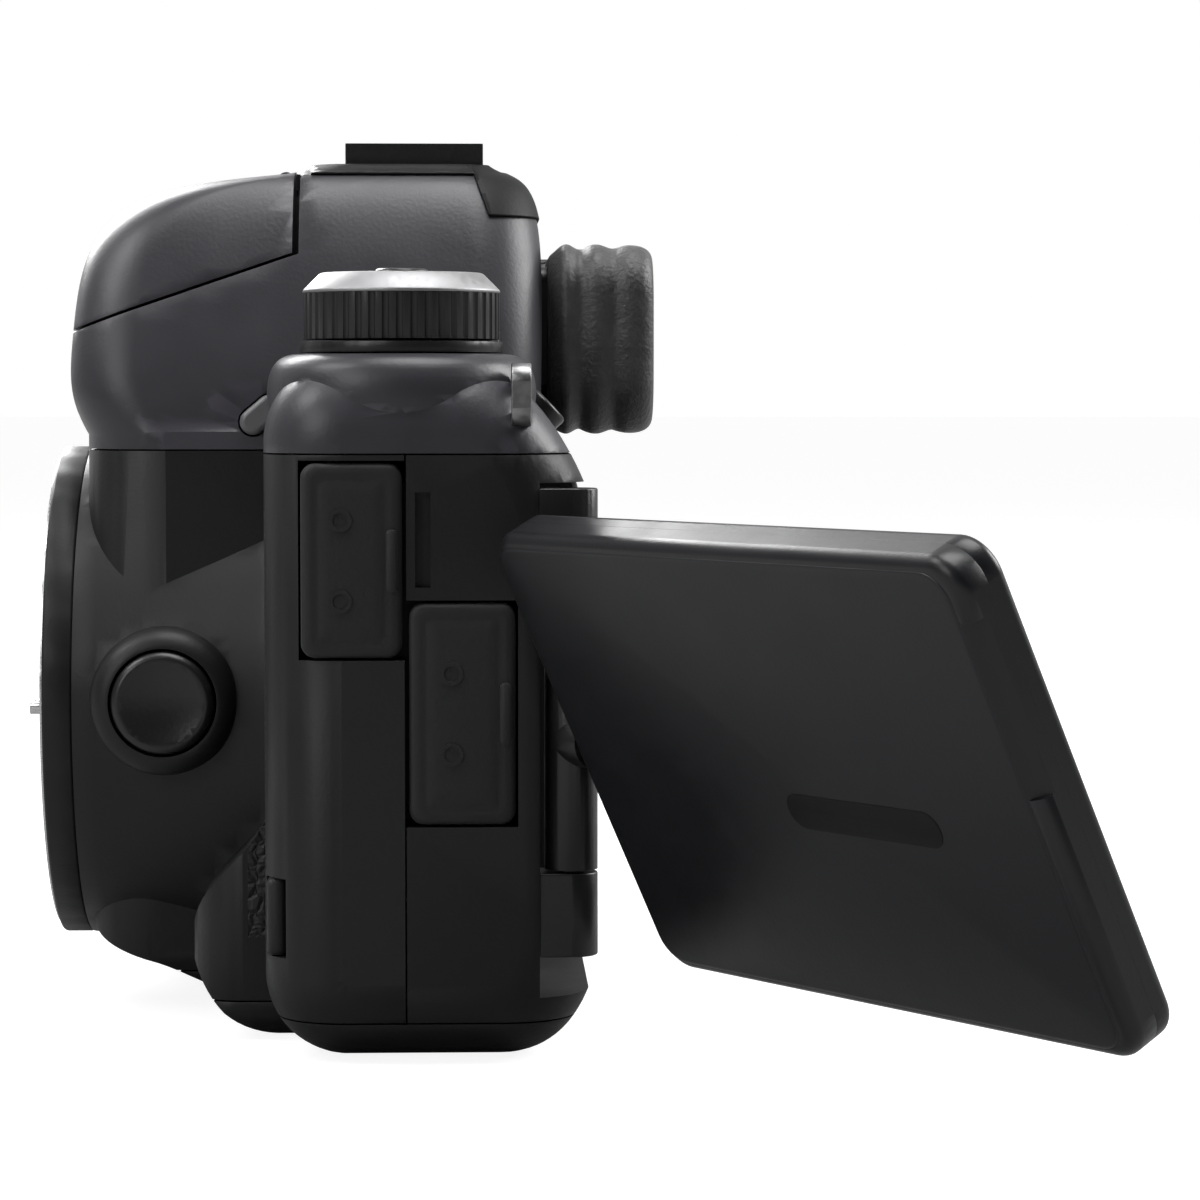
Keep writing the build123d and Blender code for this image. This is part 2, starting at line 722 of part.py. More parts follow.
# ---- strap lugs ----
lug_points = [(58.4, 20.6, 74.8), (-79.5, 13.0, 76.6)]
with BuildPart() as strap_lugs:
    for lug_x, lug_y, lug_height in lug_points:
        with BuildSketch(Plane.XZ.offset(-lug_y)):
            with Locations((lug_x, lug_height)):
                RectangleRounded(7.0, 7.0, 2)
                RectangleRounded(3.8, 3.8, 1, mode=Mode.SUBTRACT)
        extrude(amount=2.2)
strap_lugs.part.label = "strap_lugs"
export_step(strap_lugs.part, "parts/strap_lugs.step")

# ---- covers ----
def casing_piece(depth_form, x0, x1, y0, y1, z0, z1):
    """The piece of the casing's wall inside one box, down to depth_form."""
    with BuildPart() as piece:
        add(outer_form)
        block(x0, x1, y0, y1, z0, z1, mode=Mode.INTERSECT)
        add(depth_form, mode=Mode.SUBTRACT)
    return piece.part


front_pad = casing_piece(skin_form, -84, -44.4, -42, 5.8, 7, 63)
side_pad = casing_piece(skin_form, 38.6, 54.5, -12, -8, 12, 62)
thumb_pad = casing_piece(skin_form, -84, -69, 22.6, 30, 28, 60)

with BuildPart() as thumb_rise:
    with BuildSketch(Plane.XZ.offset(-28.6)):
        with Locations((-74.6, 47)):
            Ellipse(5, 10)
    with BuildSketch(Plane.XZ.offset(-31.6)):
        with Locations((-74.6, 48)):
            Ellipse(3, 7)
    loft()
    fillet(thumb_rise.faces().sort_by(Axis.Y)[-1].edges(), 1.0)

with BuildPart() as grip_rubbers:
    add(front_pad)
    add(side_pad)
    add(thumb_pad)
    add(thumb_rise.part)
grip_rubbers.part.label = "grip_rubbers"
export_step(grip_rubbers.part, "parts/grip_rubbers.step")

with BuildPart() as front_cover:
    add(casing_piece(inner_form, -90, 70, -45, seam_y - 0.1, base_seam_z + 0.1, top_seam_z - 0.1))
    add(grip_rubbers.part, mode=Mode.SUBTRACT)
    with BuildSketch(Plane.XZ.offset(40)):
        with Locations((0, lens_z)):
            Circle(26.4)
    extrude(amount=-12, mode=Mode.SUBTRACT)
    with BuildSketch(Plane.XZ.offset(40)):
        with Locations((pin_circle, lens_z)):
            Circle(1.1)
    extrude(amount=-12, mode=Mode.SUBTRACT)
    with BuildSketch(Plane.YZ.offset(24)):
        with Locations((release_y, release_z)):
            Circle(6.4)
    extrude(amount=16, mode=Mode.SUBTRACT)
    y0, y1, z0, z1 = front_port
    block(50, 63, y0 - gap, y1 + gap, z0 - gap, z1 + gap, mode=Mode.SUBTRACT)
    block(53, 64, -9.2, -6.9, 11.7, 20.6, mode=Mode.SUBTRACT)
front_cover.part.label = "front_cover"
export_step(front_cover.part, "parts/front_cover.step")

with BuildPart() as recess_tray:
    add(outer_form)
    block(recess_right - 2, 70, recess_floor - wall, 40, recess_low - 2, recess_high + 2, mode=Mode.INTERSECT)
    block(recess_right, 80, recess_floor, 50, recess_low, recess_high, mode=Mode.SUBTRACT)

with BuildPart() as rear_cover:
    add(casing_piece(inner_form, -90, 70, seam_y + 0.1, 45, base_seam_z + 0.1, top_seam_z - 0.1))
    add(recess_tray.part)
    block(recess_right, 80, recess_floor, 50, recess_low, recess_high, mode=Mode.SUBTRACT)
    add(grip_rubbers.part, mode=Mode.SUBTRACT)
    y0, y1, z0, z1 = rear_port
    block(50, 63, y0 - gap, y1 + gap, z0 - gap, z1 + gap, mode=Mode.SUBTRACT)
    block(60.3, 63, 7.7, 9.4, 53.4, 64, mode=Mode.SUBTRACT)
    y0, y1, z0, z1 = card_opening
    block(-84, -79, y0 - gap, y1 + gap, z0 - gap, z1 + gap, mode=Mode.SUBTRACT)
    with BuildSketch(Plane.XZ.offset(-20)):
        with Locations((quick_x, quick_z)):
            Circle(hub_radius + 0.06)
    extrude(amount=-12, mode=Mode.SUBTRACT)
    add(button_wells(), mode=Mode.SUBTRACT)
rear_cover.part.label = "rear_cover"
export_step(rear_cover.part, "parts/rear_cover.step")

door_x0, door_x1, door_y0, door_y1 = battery_opening
with BuildPart() as bottom_cover:
    add(casing_piece(inner_form, -90, 70, -45, 45, -1, base_seam_z - 0.1))
    block(door_x0 - gap, door_x1 + gap, door_y0 - gap, door_y1 + gap, -1, 8, mode=Mode.SUBTRACT)
    with BuildSketch(Plane.XY):
        Circle(8.5)
    extrude(amount=4, mode=Mode.SUBTRACT)
    with BuildSketch(Plane.XY):
        with Locations(*case_screw_points):
            Circle(1.75)
    extrude(amount=1.3, mode=Mode.SUBTRACT)
bottom_cover.part.label = "bottom_cover"
export_step(bottom_cover.part, "parts/bottom_cover.step")

# ---- top cover with the flash well, hot shoe seat and dial wells ----
with BuildPart() as well_walls:
    add(outer_form)
    add(above_parting(-2.0, well_back + 1.8), mode=Mode.INTERSECT)
    add(above_parting(-0.4, well_back), mode=Mode.SUBTRACT)

with BuildPart() as shoe_seat:
    block(-12, 12, -3.4, 17, 99.4, 101.9)

with BuildPart() as flash_space:
    add(above_parting(-0.4, well_back))

flash_button_y = -11.0
flash_button_z = 72.4
flash_button_plane = Plane(origin=(24, flash_button_y, flash_button_z), x_dir=(0, 1, 0), z_dir=(1, 0, 0))
top_window = (-68.0, -40.0, 2.5, 13.0)
with BuildPart() as top_cover:
    add(casing_piece(inner_form, -90, 70, -45, 45, top_seam_z + 0.1, 112))
    add(flash_space.part, mode=Mode.SUBTRACT)
    add(well_walls.part)
    add(shoe_seat.part)
    block(-10.8, 10.8, -1.7, 26, 101.9, 112, mode=Mode.SUBTRACT)
    with BuildSketch(Plane.XZ.offset(-13.8)):
        with Locations((0, 82.4)):
            RectangleRounded(26, 16.4, 2)
    extrude(amount=-12, mode=Mode.SUBTRACT)
    with BuildSketch(Plane.XZ.offset(-15)):
        with Locations((diopter_x, diopter_z)):
            Circle(1.66)
    extrude(amount=-8, mode=Mode.SUBTRACT)
    add(button_wells(), mode=Mode.SUBTRACT)
    with BuildSketch(Plane.XY.offset(70)):
        with Locations((dial_x, dial_y)):
            Circle(dial_shaft + 0.06)
    extrude(amount=14, mode=Mode.SUBTRACT)
    with BuildSketch(shutter_plane.offset(-6)):
        Circle(5.0)
    extrude(amount=12, mode=Mode.SUBTRACT)
    block(
        wheel_x - wheel_half_width - 0.4,
        wheel_x + wheel_half_width + 0.4,
        wheel_y - wheel_radius - 0.4,
        wheel_y + wheel_radius + 0.4,
        wheel_z - 10,
        wheel_z + 14,
        mode=Mode.SUBTRACT,
    )
    for side in (-1, 1):
        lug_middle = wheel_x + side * (wheel_half_width + 1.6)
        block(lug_middle - 0.9, lug_middle + 0.9, wheel_y - 2.6, wheel_y + 2.6, wheel_z - 2.6, wheel_z + 3.6)
    with BuildSketch(Plane.YZ.offset(wheel_x - 8)):
        with Locations((wheel_y, wheel_z)):
            Circle(1.56)
    extrude(amount=16, mode=Mode.SUBTRACT)
    x0, x1, y0, y1 = top_window
    block(x0, x1, y0, y1, 70, 84, mode=Mode.SUBTRACT)
    with BuildSketch(Plane.XY.offset(72)):
        with Locations(top_button_point):
            SlotOverall(5.2, 3.1)
    extrude(amount=10, mode=Mode.SUBTRACT)
    with BuildSketch(flash_button_plane):
        with Locations(Rotation(0, 0, 40)):
            SlotOverall(6.2, 3.6)
    extrude(amount=10, mode=Mode.SUBTRACT)
    add(strap_lugs.part, mode=Mode.SUBTRACT)
    for side in (-1, 1):
        with BuildSketch(Plane.YZ.offset(side * 6.5 - 1.5)):
            with Locations((flash_hinge_y, flash_hinge_z)):
                Circle(1.1)
        extrude(amount=3)
        block(
            side * 6.5 - 1.5,
            side * 6.5 + 1.5,
            flash_hinge_y,
            well_back + 0.4,
            flash_hinge_z - 1.0,
            flash_hinge_z + 0.8,
        )
    with BuildSketch(Plane.YZ.offset(-12)):
        with Locations((flash_hinge_y, flash_hinge_z)):
            Circle(0.7)
    extrude(amount=24, mode=Mode.SUBTRACT)
top_cover.part.label = "top_cover"
export_step(top_cover.part, "parts/top_cover.step")

# ---- pop-up flash ----
with BuildPart() as flash_hollow:
    add(inner_form)
    add(above_parting(1.7, part_high[0] - 2), mode=Mode.INTERSECT)

with BuildPart() as flash_head:
    add(outer_form)
    add(above_parting(0, part_high[0]), mode=Mode.INTERSECT)
    add(flash_hollow.part, mode=Mode.SUBTRACT)
    with BuildSketch(flash_plane.offset(-1)):
        Rectangle(26.2, 10.2)
    extrude(amount=4, mode=Mode.SUBTRACT)
    for side in (-1, 1):
        block(side * 6.5 - 1.8, side * 6.5 + 1.8, -10.9, -6, flash_hinge_z - 1.8, 106, mode=Mode.SUBTRACT)
    with BuildSketch(Plane.YZ.offset(-12)):
        with Locations((flash_hinge_y, flash_hinge_z)):
            Circle(0.76)
    extrude(amount=24, mode=Mode.SUBTRACT)
flash_head.part.label = "flash_head"
export_step(flash_head.part, "parts/flash_head.step")

with BuildPart() as flash_lens:
    with BuildSketch(flash_plane.offset(0.1)):
        Rectangle(26, 10)
    extrude(amount=1.4)
flash_lens.part.label = "flash_lens"
export_step(flash_lens.part, "parts/flash_lens.step")

with BuildPart() as flash_button:
    with BuildSketch(flash_button_plane.offset(1.0)):
        with Locations(Rotation(0, 0, 40)):
            SlotOverall(5.7, 3.1)
    extrude(amount=5.0)
    fillet(flash_button.faces().sort_by(Axis.X)[-1].edges(), 0.7)
flash_button.part.label = "flash_button"
export_step(flash_button.part, "parts/flash_button.step")

# ---- hot shoe ----
with BuildPart() as hot_shoe:
    block(-10.6, 10.6, -1.5, 15.5, 101.9, 102.7)
    for side in (-1, 1):
        block(side * 9.95 - 0.65, side * 9.95 + 0.65, -1.5, 15.5, 102.7, 105.8)
        block(side * 7.8 - 1.5, side * 7.8 + 1.5, -1.5, 15.5, 104.8, 105.8)
hot_shoe.part.label = "hot_shoe"
export_step(hot_shoe.part, "parts/hot_shoe.step")

# ---- mode dial and power switch ----
dial_plane = Plane(origin=(dial_x, dial_y, 0), x_dir=(1, 0, 0), z_dir=(0, 0, 1))
with BuildPart() as mode_dial:
    with BuildSketch(dial_plane.offset(dial_low)):
        Circle(dial_radius)
    extrude(amount=dial_high - dial_low)
    chamfer(mode_dial.faces().sort_by(Axis.Z)[-1].edges(), 2.0)
    add(ring_cuts(44, dial_radius + 0.15, 0.42, 5.3, dial_plane.offset(dial_low - 0.1)), mode=Mode.SUBTRACT)
    with BuildSketch(dial_plane.offset(74)):
        Circle(dial_shaft)
    extrude(amount=dial_low - 74)
    with BuildSketch(dial_plane.offset(dial_high - 4)):
        Circle(3.25)
    extrude(amount=4, mode=Mode.SUBTRACT)
mode_dial.part.label = "mode_dial"
export_step(mode_dial.part, "parts/mode_dial.step")

with BuildPart() as mode_dial_lock:
    with BuildSketch(dial_plane.offset(dial_high - 3)):
        Circle(3.1)
    extrude(amount=3.6)
    fillet(mode_dial_lock.faces().sort_by(Axis.Z)[-1].edges(), 0.5)
mode_dial_lock.part.label = "mode_dial_lock"
export_step(mode_dial_lock.part, "parts/mode_dial_lock.step")

with BuildPart() as power_switch:
    with BuildSketch(dial_plane.offset(79.6)):
        Circle(11.6)
        with Locations(Rotation(0, 0, 140)):
            with Locations((13.2, 0)):
                RectangleRounded(6.4, 4.6, 1.6)
        Circle(dial_shaft + 0.1, mode=Mode.SUBTRACT)
    extrude(amount=1.2)
    with BuildSketch(dial_plane.offset(80.8)):
        with Locations(Rotation(0, 0, 140)):
            with Locations((14.4, 0)):
                RectangleRounded(3.2, 4.2, 1.2)
    extrude(amount=1.4)
power_switch.part.label = "power_switch"
export_step(power_switch.part, "parts/power_switch.step")

# ---- top controls on the grip side ----
with BuildPart() as shutter_button:
    with BuildSketch(shutter_plane.offset(-3.2)):
        Circle(4.7)
    extrude(amount=4.8)
    fillet(shutter_button.faces().sort_by(Axis.Z)[-1].edges(), 1.2)
shutter_button.part.label = "shutter_button"
export_step(shutter_button.part, "parts/shutter_button.step")

wheel_plane = Plane(
    origin=(wheel_x - wheel_half_width, wheel_y, wheel_z),
    x_dir=(0, 1, 0),
    z_dir=(1, 0, 0),
)
with BuildPart() as main_dial:
    with BuildSketch(wheel_plane):
        Circle(wheel_radius)
    extrude(amount=2 * wheel_half_width)
    add(ring_cuts(32, wheel_radius + 0.15, 0.42, 2 * wheel_half_width, wheel_plane), mode=Mode.SUBTRACT)
    with BuildSketch(wheel_plane.offset(-2.3)):
        Circle(1.5)
    extrude(amount=2 * wheel_half_width + 4.6)
main_dial.part.label = "main_dial"
export_step(main_dial.part, "parts/main_dial.step")

with BuildPart() as top_lcd_window:
    x0, x1, y0, y1 = top_window
    block(x0, x1, y0, y1, 77.6, 78.85)
top_lcd_window.part.label = "top_lcd_window"
export_step(top_lcd_window.part, "parts/top_lcd_window.step")

with BuildPart() as button_iso:
    with BuildSketch(Plane.XY.offset(74)):
        with Locations(top_button_point):
            SlotOverall(4.8, 2.7)
    extrude(amount=5.7)
    fillet(button_iso.faces().sort_by(Axis.Z)[-1].edges(), 0.4)
button_iso.part.label = "button_iso"
export_step(button_iso.part, "parts/button_iso.step")

# ---- controls on the back ----
quick_plane = Plane(origin=(quick_x, 0, quick_z), x_dir=(1, 0, 0), z_dir=(0, 1, 0))
with BuildPart() as quick_dial:
    with BuildSketch(quick_plane.offset(body_back + 0.3)):
        Circle(quick_radius)
        Circle(set_radius + 0.4, mode=Mode.SUBTRACT)
    extrude(amount=1.7)
    fillet(quick_dial.faces().sort_by(Axis.Y)[-1].edges(), 0.5)
    add(ring_cuts(48, quick_radius + 0.15, 0.4, 1.0, quick_plane.offset(body_back + 0.3)), mode=Mode.SUBTRACT)
    with BuildSketch(quick_plane.offset(body_back - 5)):
        Circle(hub_radius)
        Circle(set_radius + 0.4, mode=Mode.SUBTRACT)
    extrude(amount=5.3)
quick_dial.part.label = "quick_dial"
export_step(quick_dial.part, "parts/quick_dial.step")

with BuildPart() as set_button:
    with BuildSketch(quick_plane.offset(body_back - 3)):
        Circle(set_radius)
    extrude(amount=5)
    fillet(set_button.faces().sort_by(Axis.Y)[-1].edges(), 0.6)
set_button.part.label = "set_button"
export_step(set_button.part, "parts/set_button.step")

for button_name, (point, lean) in rear_buttons.items():
    with BuildPart() as rear_button:
        with BuildSketch(button_plane(point, lean).offset(-5)):
            Circle(rear_button_radius)
        extrude(amount=6.3)
        fillet(rear_button.faces().sort_by(Axis.Y)[-1].edges(), 0.5)
    rear_button.part.label = button_name
    export_step(rear_button.part, f"parts/{button_name}.step")

# ---- screen hinge ----
with BuildPart() as hinge_bracket:
    for low, high in ((recess_low + 4.6, 21.4), (51.0, recess_high - 0.6)):
        with BuildSketch(Plane.XY.offset(low)):
            with Locations((hinge_x, hinge_y)):
                Circle(3.0)
            with Locations((hinge_x, (recess_floor + hinge_y) / 2)):
                Rectangle(6.0, hinge_y - recess_floor)
            with Locations((hinge_x, hinge_y)):
                Circle(1.5, mode=Mode.SUBTRACT)
        extrude(amount=high - low)
hinge_bracket.part.label = "hinge_bracket"
export_step(hinge_bracket.part, "parts/hinge_bracket.step")

with BuildPart() as hinge_pins:
    with BuildSketch(Plane.XY.offset(recess_low + 4.9)):
        with Locations((hinge_x, hinge_y)):
            Circle(1.5)
    extrude(amount=13)
    with BuildSketch(Plane.XY.offset(47)):
        with Locations((hinge_x, hinge_y)):
            Circle(1.5)
    extrude(amount=17)
    with BuildSketch(Plane.YZ.offset(-11.5)):
        with Locations((flash_hinge_y, flash_hinge_z)):
            Circle(0.7)
    extrude(amount=23)
hinge_pins.part.label = "hinge_pins"
export_step(hinge_pins.part, "parts/hinge_pins.step")

with BuildPart() as hinge_arm:
    with BuildSketch(Plane.XY.offset(21.7)):
        with Locations((hinge_x, hinge_y)):
            Circle(3.0)
    extrude(amount=29)
    with BuildSketch(shaft_plane.offset(0.5)):
        Circle(2.95)
    extrude(amount=4.4)
    for low in (21.7, 46.6):
        with BuildSketch(Plane.XY.offset(low)):
            with Locations((hinge_x, hinge_y)):
                Circle(1.56)
        extrude(amount=4.1, mode=Mode.SUBTRACT)
    with BuildSketch(shaft_plane.offset(1.9)):
        Circle(2.05)
    extrude(amount=4, mode=Mode.SUBTRACT)
hinge_arm.part.label = "hinge_arm"
export_step(hinge_arm.part, "parts/hinge_arm.step")

with BuildPart() as tilt_shaft:
    with BuildSketch(shaft_plane.offset(2.1)):
        Circle(2.0)
    extrude(amount=10.8)
tilt_shaft.part.label = "tilt_shaft"
export_step(tilt_shaft.part, "parts/tilt_shaft.step")

# ---- screen ----
half_thick = panel_thick / 2
split_level = -0.4
window_middle = panel_start + 41.0
with BuildPart() as screen_back_cover:
    with BuildSketch(panel_plane.offset(split_level)):
        with Locations((panel_middle, 0)):
            RectangleRounded(panel_width, panel_height, 4)
    extrude(amount=half_thick - split_level)
    outer_face = screen_back_cover.faces().filter_by(lambda f: f.normal_at().dot(cover_out) > 0.99)
    fillet(outer_face.edges(), 1.5)
    with BuildSketch(panel_plane.offset(split_level)):
        with Locations((window_middle, 0)):
            Rectangle(66.4, 46.4)
    extrude(amount=1.9, mode=Mode.SUBTRACT)
    with BuildSketch(shaft_plane.offset(panel_start - 1)):
        Circle(2.05)
    extrude(amount=8.7, mode=Mode.SUBTRACT)
    with BuildSketch(Plane(origin=hinge_point, x_dir=along, z_dir=panel_plane.y_dir).offset(2)):
        with Locations((panel_start + panel_width + 2.6, -half_thick - 2.4)):
            Circle(5)
    extrude(amount=19, mode=Mode.SUBTRACT)
screen_back_cover.part.label = "screen_back_cover"
export_step(screen_back_cover.part, "parts/screen_back_cover.step")

with BuildPart() as screen_bezel:
    with BuildSketch(panel_plane.offset(-half_thick)):
        with Locations((panel_middle, 0)):
            RectangleRounded(panel_width, panel_height, 4)
    extrude(amount=half_thick + split_level)
    lcd_face = screen_bezel.faces().filter_by(lambda f: f.normal_at().dot(cover_out) < -0.99)
    fillet(lcd_face.edges(), 1.2)
    with BuildSketch(panel_plane.offset(-half_thick)):
        with Locations((window_middle, 0)):
            Rectangle(64, 44)
    extrude(amount=half_thick, mode=Mode.SUBTRACT)
    with BuildSketch(panel_plane.offset(-2.05)):
        with Locations((window_middle, 0)):
            Rectangle(66.4, 46.4)
    extrude(amount=2, mode=Mode.SUBTRACT)
    with BuildSketch(shaft_plane.offset(panel_start - 1)):
        Circle(2.05)
    extrude(amount=8.7, mode=Mode.SUBTRACT)
screen_bezel.part.label = "screen_bezel"
export_step(screen_bezel.part, "parts/screen_bezel.step")

with BuildPart() as lcd_module:
    with BuildSketch(panel_plane.offset(-2.05)):
        with Locations((window_middle, 0)):
            Rectangle(66, 46)
    extrude(amount=3.3)
lcd_module.part.label = "lcd_module"
export_step(lcd_module.part, "parts/lcd_module.step")

with BuildPart() as screen_glass:
    with BuildSketch(panel_plane.offset(-2.85)):
        with Locations((window_middle, 0)):
            Rectangle(63.9, 43.9)
    extrude(amount=0.8)
screen_glass.part.label = "screen_glass"
export_step(screen_glass.part, "parts/screen_glass.step")
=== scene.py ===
import json
import math

import bmesh
import bpy
from mathutils import Matrix, Vector


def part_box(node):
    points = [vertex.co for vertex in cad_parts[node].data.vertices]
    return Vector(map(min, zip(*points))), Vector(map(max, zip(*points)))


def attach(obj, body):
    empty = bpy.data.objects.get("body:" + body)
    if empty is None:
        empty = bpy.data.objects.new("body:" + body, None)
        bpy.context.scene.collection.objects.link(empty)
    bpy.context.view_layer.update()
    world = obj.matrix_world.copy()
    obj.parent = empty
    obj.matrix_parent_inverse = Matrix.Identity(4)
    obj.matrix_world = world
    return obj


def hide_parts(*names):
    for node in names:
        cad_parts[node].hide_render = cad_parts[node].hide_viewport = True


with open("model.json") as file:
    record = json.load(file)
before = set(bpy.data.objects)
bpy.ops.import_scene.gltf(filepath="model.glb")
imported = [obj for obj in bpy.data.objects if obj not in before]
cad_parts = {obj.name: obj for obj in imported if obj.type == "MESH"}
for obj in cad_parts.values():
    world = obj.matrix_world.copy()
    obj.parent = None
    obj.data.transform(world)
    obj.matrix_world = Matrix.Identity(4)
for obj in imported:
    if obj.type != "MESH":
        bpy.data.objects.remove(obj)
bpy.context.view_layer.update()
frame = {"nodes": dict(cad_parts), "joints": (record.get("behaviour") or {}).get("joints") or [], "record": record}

MM = 0.001
SAME_POINT = 0.002 * MM
nodes = frame["nodes"]
joints = {joint["name"]: joint for joint in frame["joints"]}
X = Vector((1, 0, 0))
Y = Vector((0, 1, 0))
Z = Vector((0, 0, 1))


# ---- reading places from the frame ----
def middle(node):
    low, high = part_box(node)
    return (low + high) / 2


def span(node, direction):
    """How far a CAD node reaches along a direction: (low, high)."""
    reach = [v.co.dot(direction) for v in nodes[node].data.vertices]
    return min(reach), max(reach)


def place(origin, z_dir, x_dir):
    """The matrix that puts local x, y, z at origin, with z along z_dir and x near x_dir."""
    z_axis = Vector(z_dir).normalized()
    x_axis = (Vector(x_dir) - z_axis * z_axis.dot(Vector(x_dir))).normalized()
    y_axis = z_axis.cross(x_axis)
    turn = Matrix((x_axis, y_axis, z_axis)).transposed().to_4x4()
    return Matrix.Translation(Vector(origin)) @ turn


# ---- outlines, in metres, anticlockwise ----
def circle(radius, count=48, centre=(0, 0)):
    return [
        (
            centre[0] + radius * math.cos(2 * math.pi * i / count),
            centre[1] + radius * math.sin(2 * math.pi * i / count),
        )
        for i in range(count)
    ]


def rounded(width, height, radius, centre=(0, 0), steps=7):
    """A rectangle with round corners."""
    points = []
    corners = ((1, 1), (-1, 1), (-1, -1), (1, -1))
    for index, (sx, sy) in enumerate(corners):
        cx = centre[0] + sx * (width / 2 - radius)
        cy = centre[1] + sy * (height / 2 - radius)
        for step in range(steps):
            angle = math.pi / 2 * (index + step / (steps - 1))
            points.append((cx + radius * math.cos(angle), cy + radius * math.sin(angle)))
    return points


def stepped(width, height, corner, steps, centre=(0, 0), tighten=1.0, least=0.0):
    """Rings of a rounded rectangle for a loft, from (inset, level) steps."""
    return [
        (
            rounded(width - 2 * inset, height - 2 * inset, max(corner - inset * tighten, least), centre),
            level,
        )
        for inset, level in steps
    ]


def turned(outline, angle, centre=(0, 0)):
    """An outline turned about its own origin and then moved to centre."""
    c, s = math.cos(angle), math.sin(angle)
    return [(centre[0] + x * c - y * s, centre[1] + x * s + y * c) for x, y in outline]


def triangle(size, centre=(0, 0), angle=0.0):
    return turned([(size, 0), (-size / 2, size * 0.8), (-size / 2, -size * 0.8)], angle, centre)


# ---- making pieces ----
def piece(name, verts, faces, material, body, slot_name, bevel=0.0, smooth=35.0):
    """A finished mesh piece that rides on a body."""
    mesh = bpy.data.meshes.new(name)
    mesh.from_pydata([tuple(v) for v in verts], [], faces)
    build = bmesh.new()
    build.from_mesh(mesh)
    bmesh.ops.recalc_face_normals(build, faces=build.faces)
    build.to_mesh(mesh)
    build.free()
    obj = bpy.data.objects.new(name, mesh)
    bpy.context.scene.collection.objects.link(obj)
    mesh.materials.append(material)
    mesh.shade_smooth()
    mesh.set_sharp_from_angle(angle=math.radians(smooth))
    if bevel:
        soften(obj, bevel)
    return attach(obj, body)


def soften(obj, width, segments=2, limit=35.0):
    """Rounds the sharp edges of a piece."""
    edge = obj.modifiers.new("edges", "BEVEL")
    edge.width = width
    edge.segments = segments
    edge.limit_method = "ANGLE"
    edge.angle_limit = math.radians(limit)
    edge.use_clamp_overlap = True
    edge.harden_normals = True


def loft(name, matrix, rings, material, body, slot_name, caps=True, **finish):
    """A skin through rings of (outline, height), all with the same number of points."""
    verts = [matrix @ Vector((x, y, height)) for outline, height in rings for x, y in outline]
    count = len(rings[0][0])
    faces = []
    pairs = len(rings) - 1 if caps else len(rings)
    for level in range(pairs):
        a, b = level * count, ((level + 1) % len(rings)) * count
        for i in range(count):
            j = (i + 1) % count
            faces.append((a + i, a + j, b + j, b + i))
    if caps:
        faces.append(tuple(reversed(range(count))))
        faces.append(tuple(range((len(rings) - 1) * count, len(rings) * count)))
    return piece(name, verts, faces, material, body, slot_name, **finish)


def slab(name, matrix, outlines, low, high, material, body, slot_name, **finish):
    """One piece of one or more flat shapes, between two heights over its plane."""
    shapes = outlines if isinstance(outlines[0], list) else [outlines]
    verts, faces = [], []
    for outline in shapes:
        start, count = len(verts), len(outline)
        for height in (low, high):
            verts += [matrix @ Vector((x, y, height)) for x, y in outline]
        for i in range(count):
            j = (i + 1) % count
            faces.append((start + i, start + j, start + count + j, start + count + i))
        faces.append(tuple(start + i for i in reversed(range(count))))
        faces.append(tuple(start + count + i for i in range(count)))
    return piece(name, verts, faces, material, body, slot_name, **finish)


def lathe(name, matrix, profile, material, body, slot_name, count=72, closed=False, **finish):
    """A turned piece from (radius, height) points. A closed profile makes a ring."""
    rings = [(circle(radius, count), height) for radius, height in profile]
    return loft(name, matrix, rings, material, body, slot_name, caps=not closed, **finish)


# ---- materials ----
def material_base(name, colour, roughness, metallic=0.0, **inputs):
    material = bpy.data.materials.new(name)
    material.use_nodes = True
    tree = material.node_tree
    shader = tree.nodes["Principled BSDF"]
    shader.inputs["Base Color"].default_value = (*colour, 1)
    shader.inputs["Roughness"].default_value = roughness
    shader.inputs["Metallic"].default_value = metallic
    for key, value in inputs.items():
        shader.inputs[key.replace("_", " ")].default_value = value
    return material, tree, shader


def position_node(tree, stretch=(1, 1, 1)):
    """Object coordinates in metres, stretched for grain that runs one way."""
    coordinate = tree.nodes.new("ShaderNodeTexCoord")
    mapping = tree.nodes.new("ShaderNodeMapping")
    mapping.inputs["Scale"].default_value = stretch
    tree.links.new(coordinate.outputs["Object"], mapping.inputs["Vector"])
    return mapping.outputs["Vector"]


def noise_node(tree, vector, size, detail=3.0, rough=0.55):
    noise = tree.nodes.new("ShaderNodeTexNoise")
    noise.inputs["Scale"].default_value = 1 / size
    noise.inputs["Detail"].default_value = detail
    noise.inputs["Roughness"].default_value = rough
    tree.links.new(vector, noise.inputs["Vector"])
    return noise.outputs["Fac"]


def map_node(tree, value, from_low, from_high, to_low, to_high):
    remap = tree.nodes.new("ShaderNodeMapRange")
    remap.inputs["From Min"].default_value = from_low
    remap.inputs["From Max"].default_value = from_high
    remap.inputs["To Min"].default_value = to_low
    remap.inputs["To Max"].default_value = to_high
    tree.links.new(value, remap.inputs["Value"])
    return remap.outputs["Result"]


def bump_node(tree, shader, height, strength, distance, below=None):
    bump = tree.nodes.new("ShaderNodeBump")
    bump.inputs["Strength"].default_value = strength
    bump.inputs["Distance"].default_value = distance
    tree.links.new(height, bump.inputs["Height"])
    if below is not None:
        tree.links.new(below.outputs["Normal"], bump.inputs["Normal"])
    tree.links.new(bump.outputs["Normal"], shader.inputs["Normal"])
    return bump


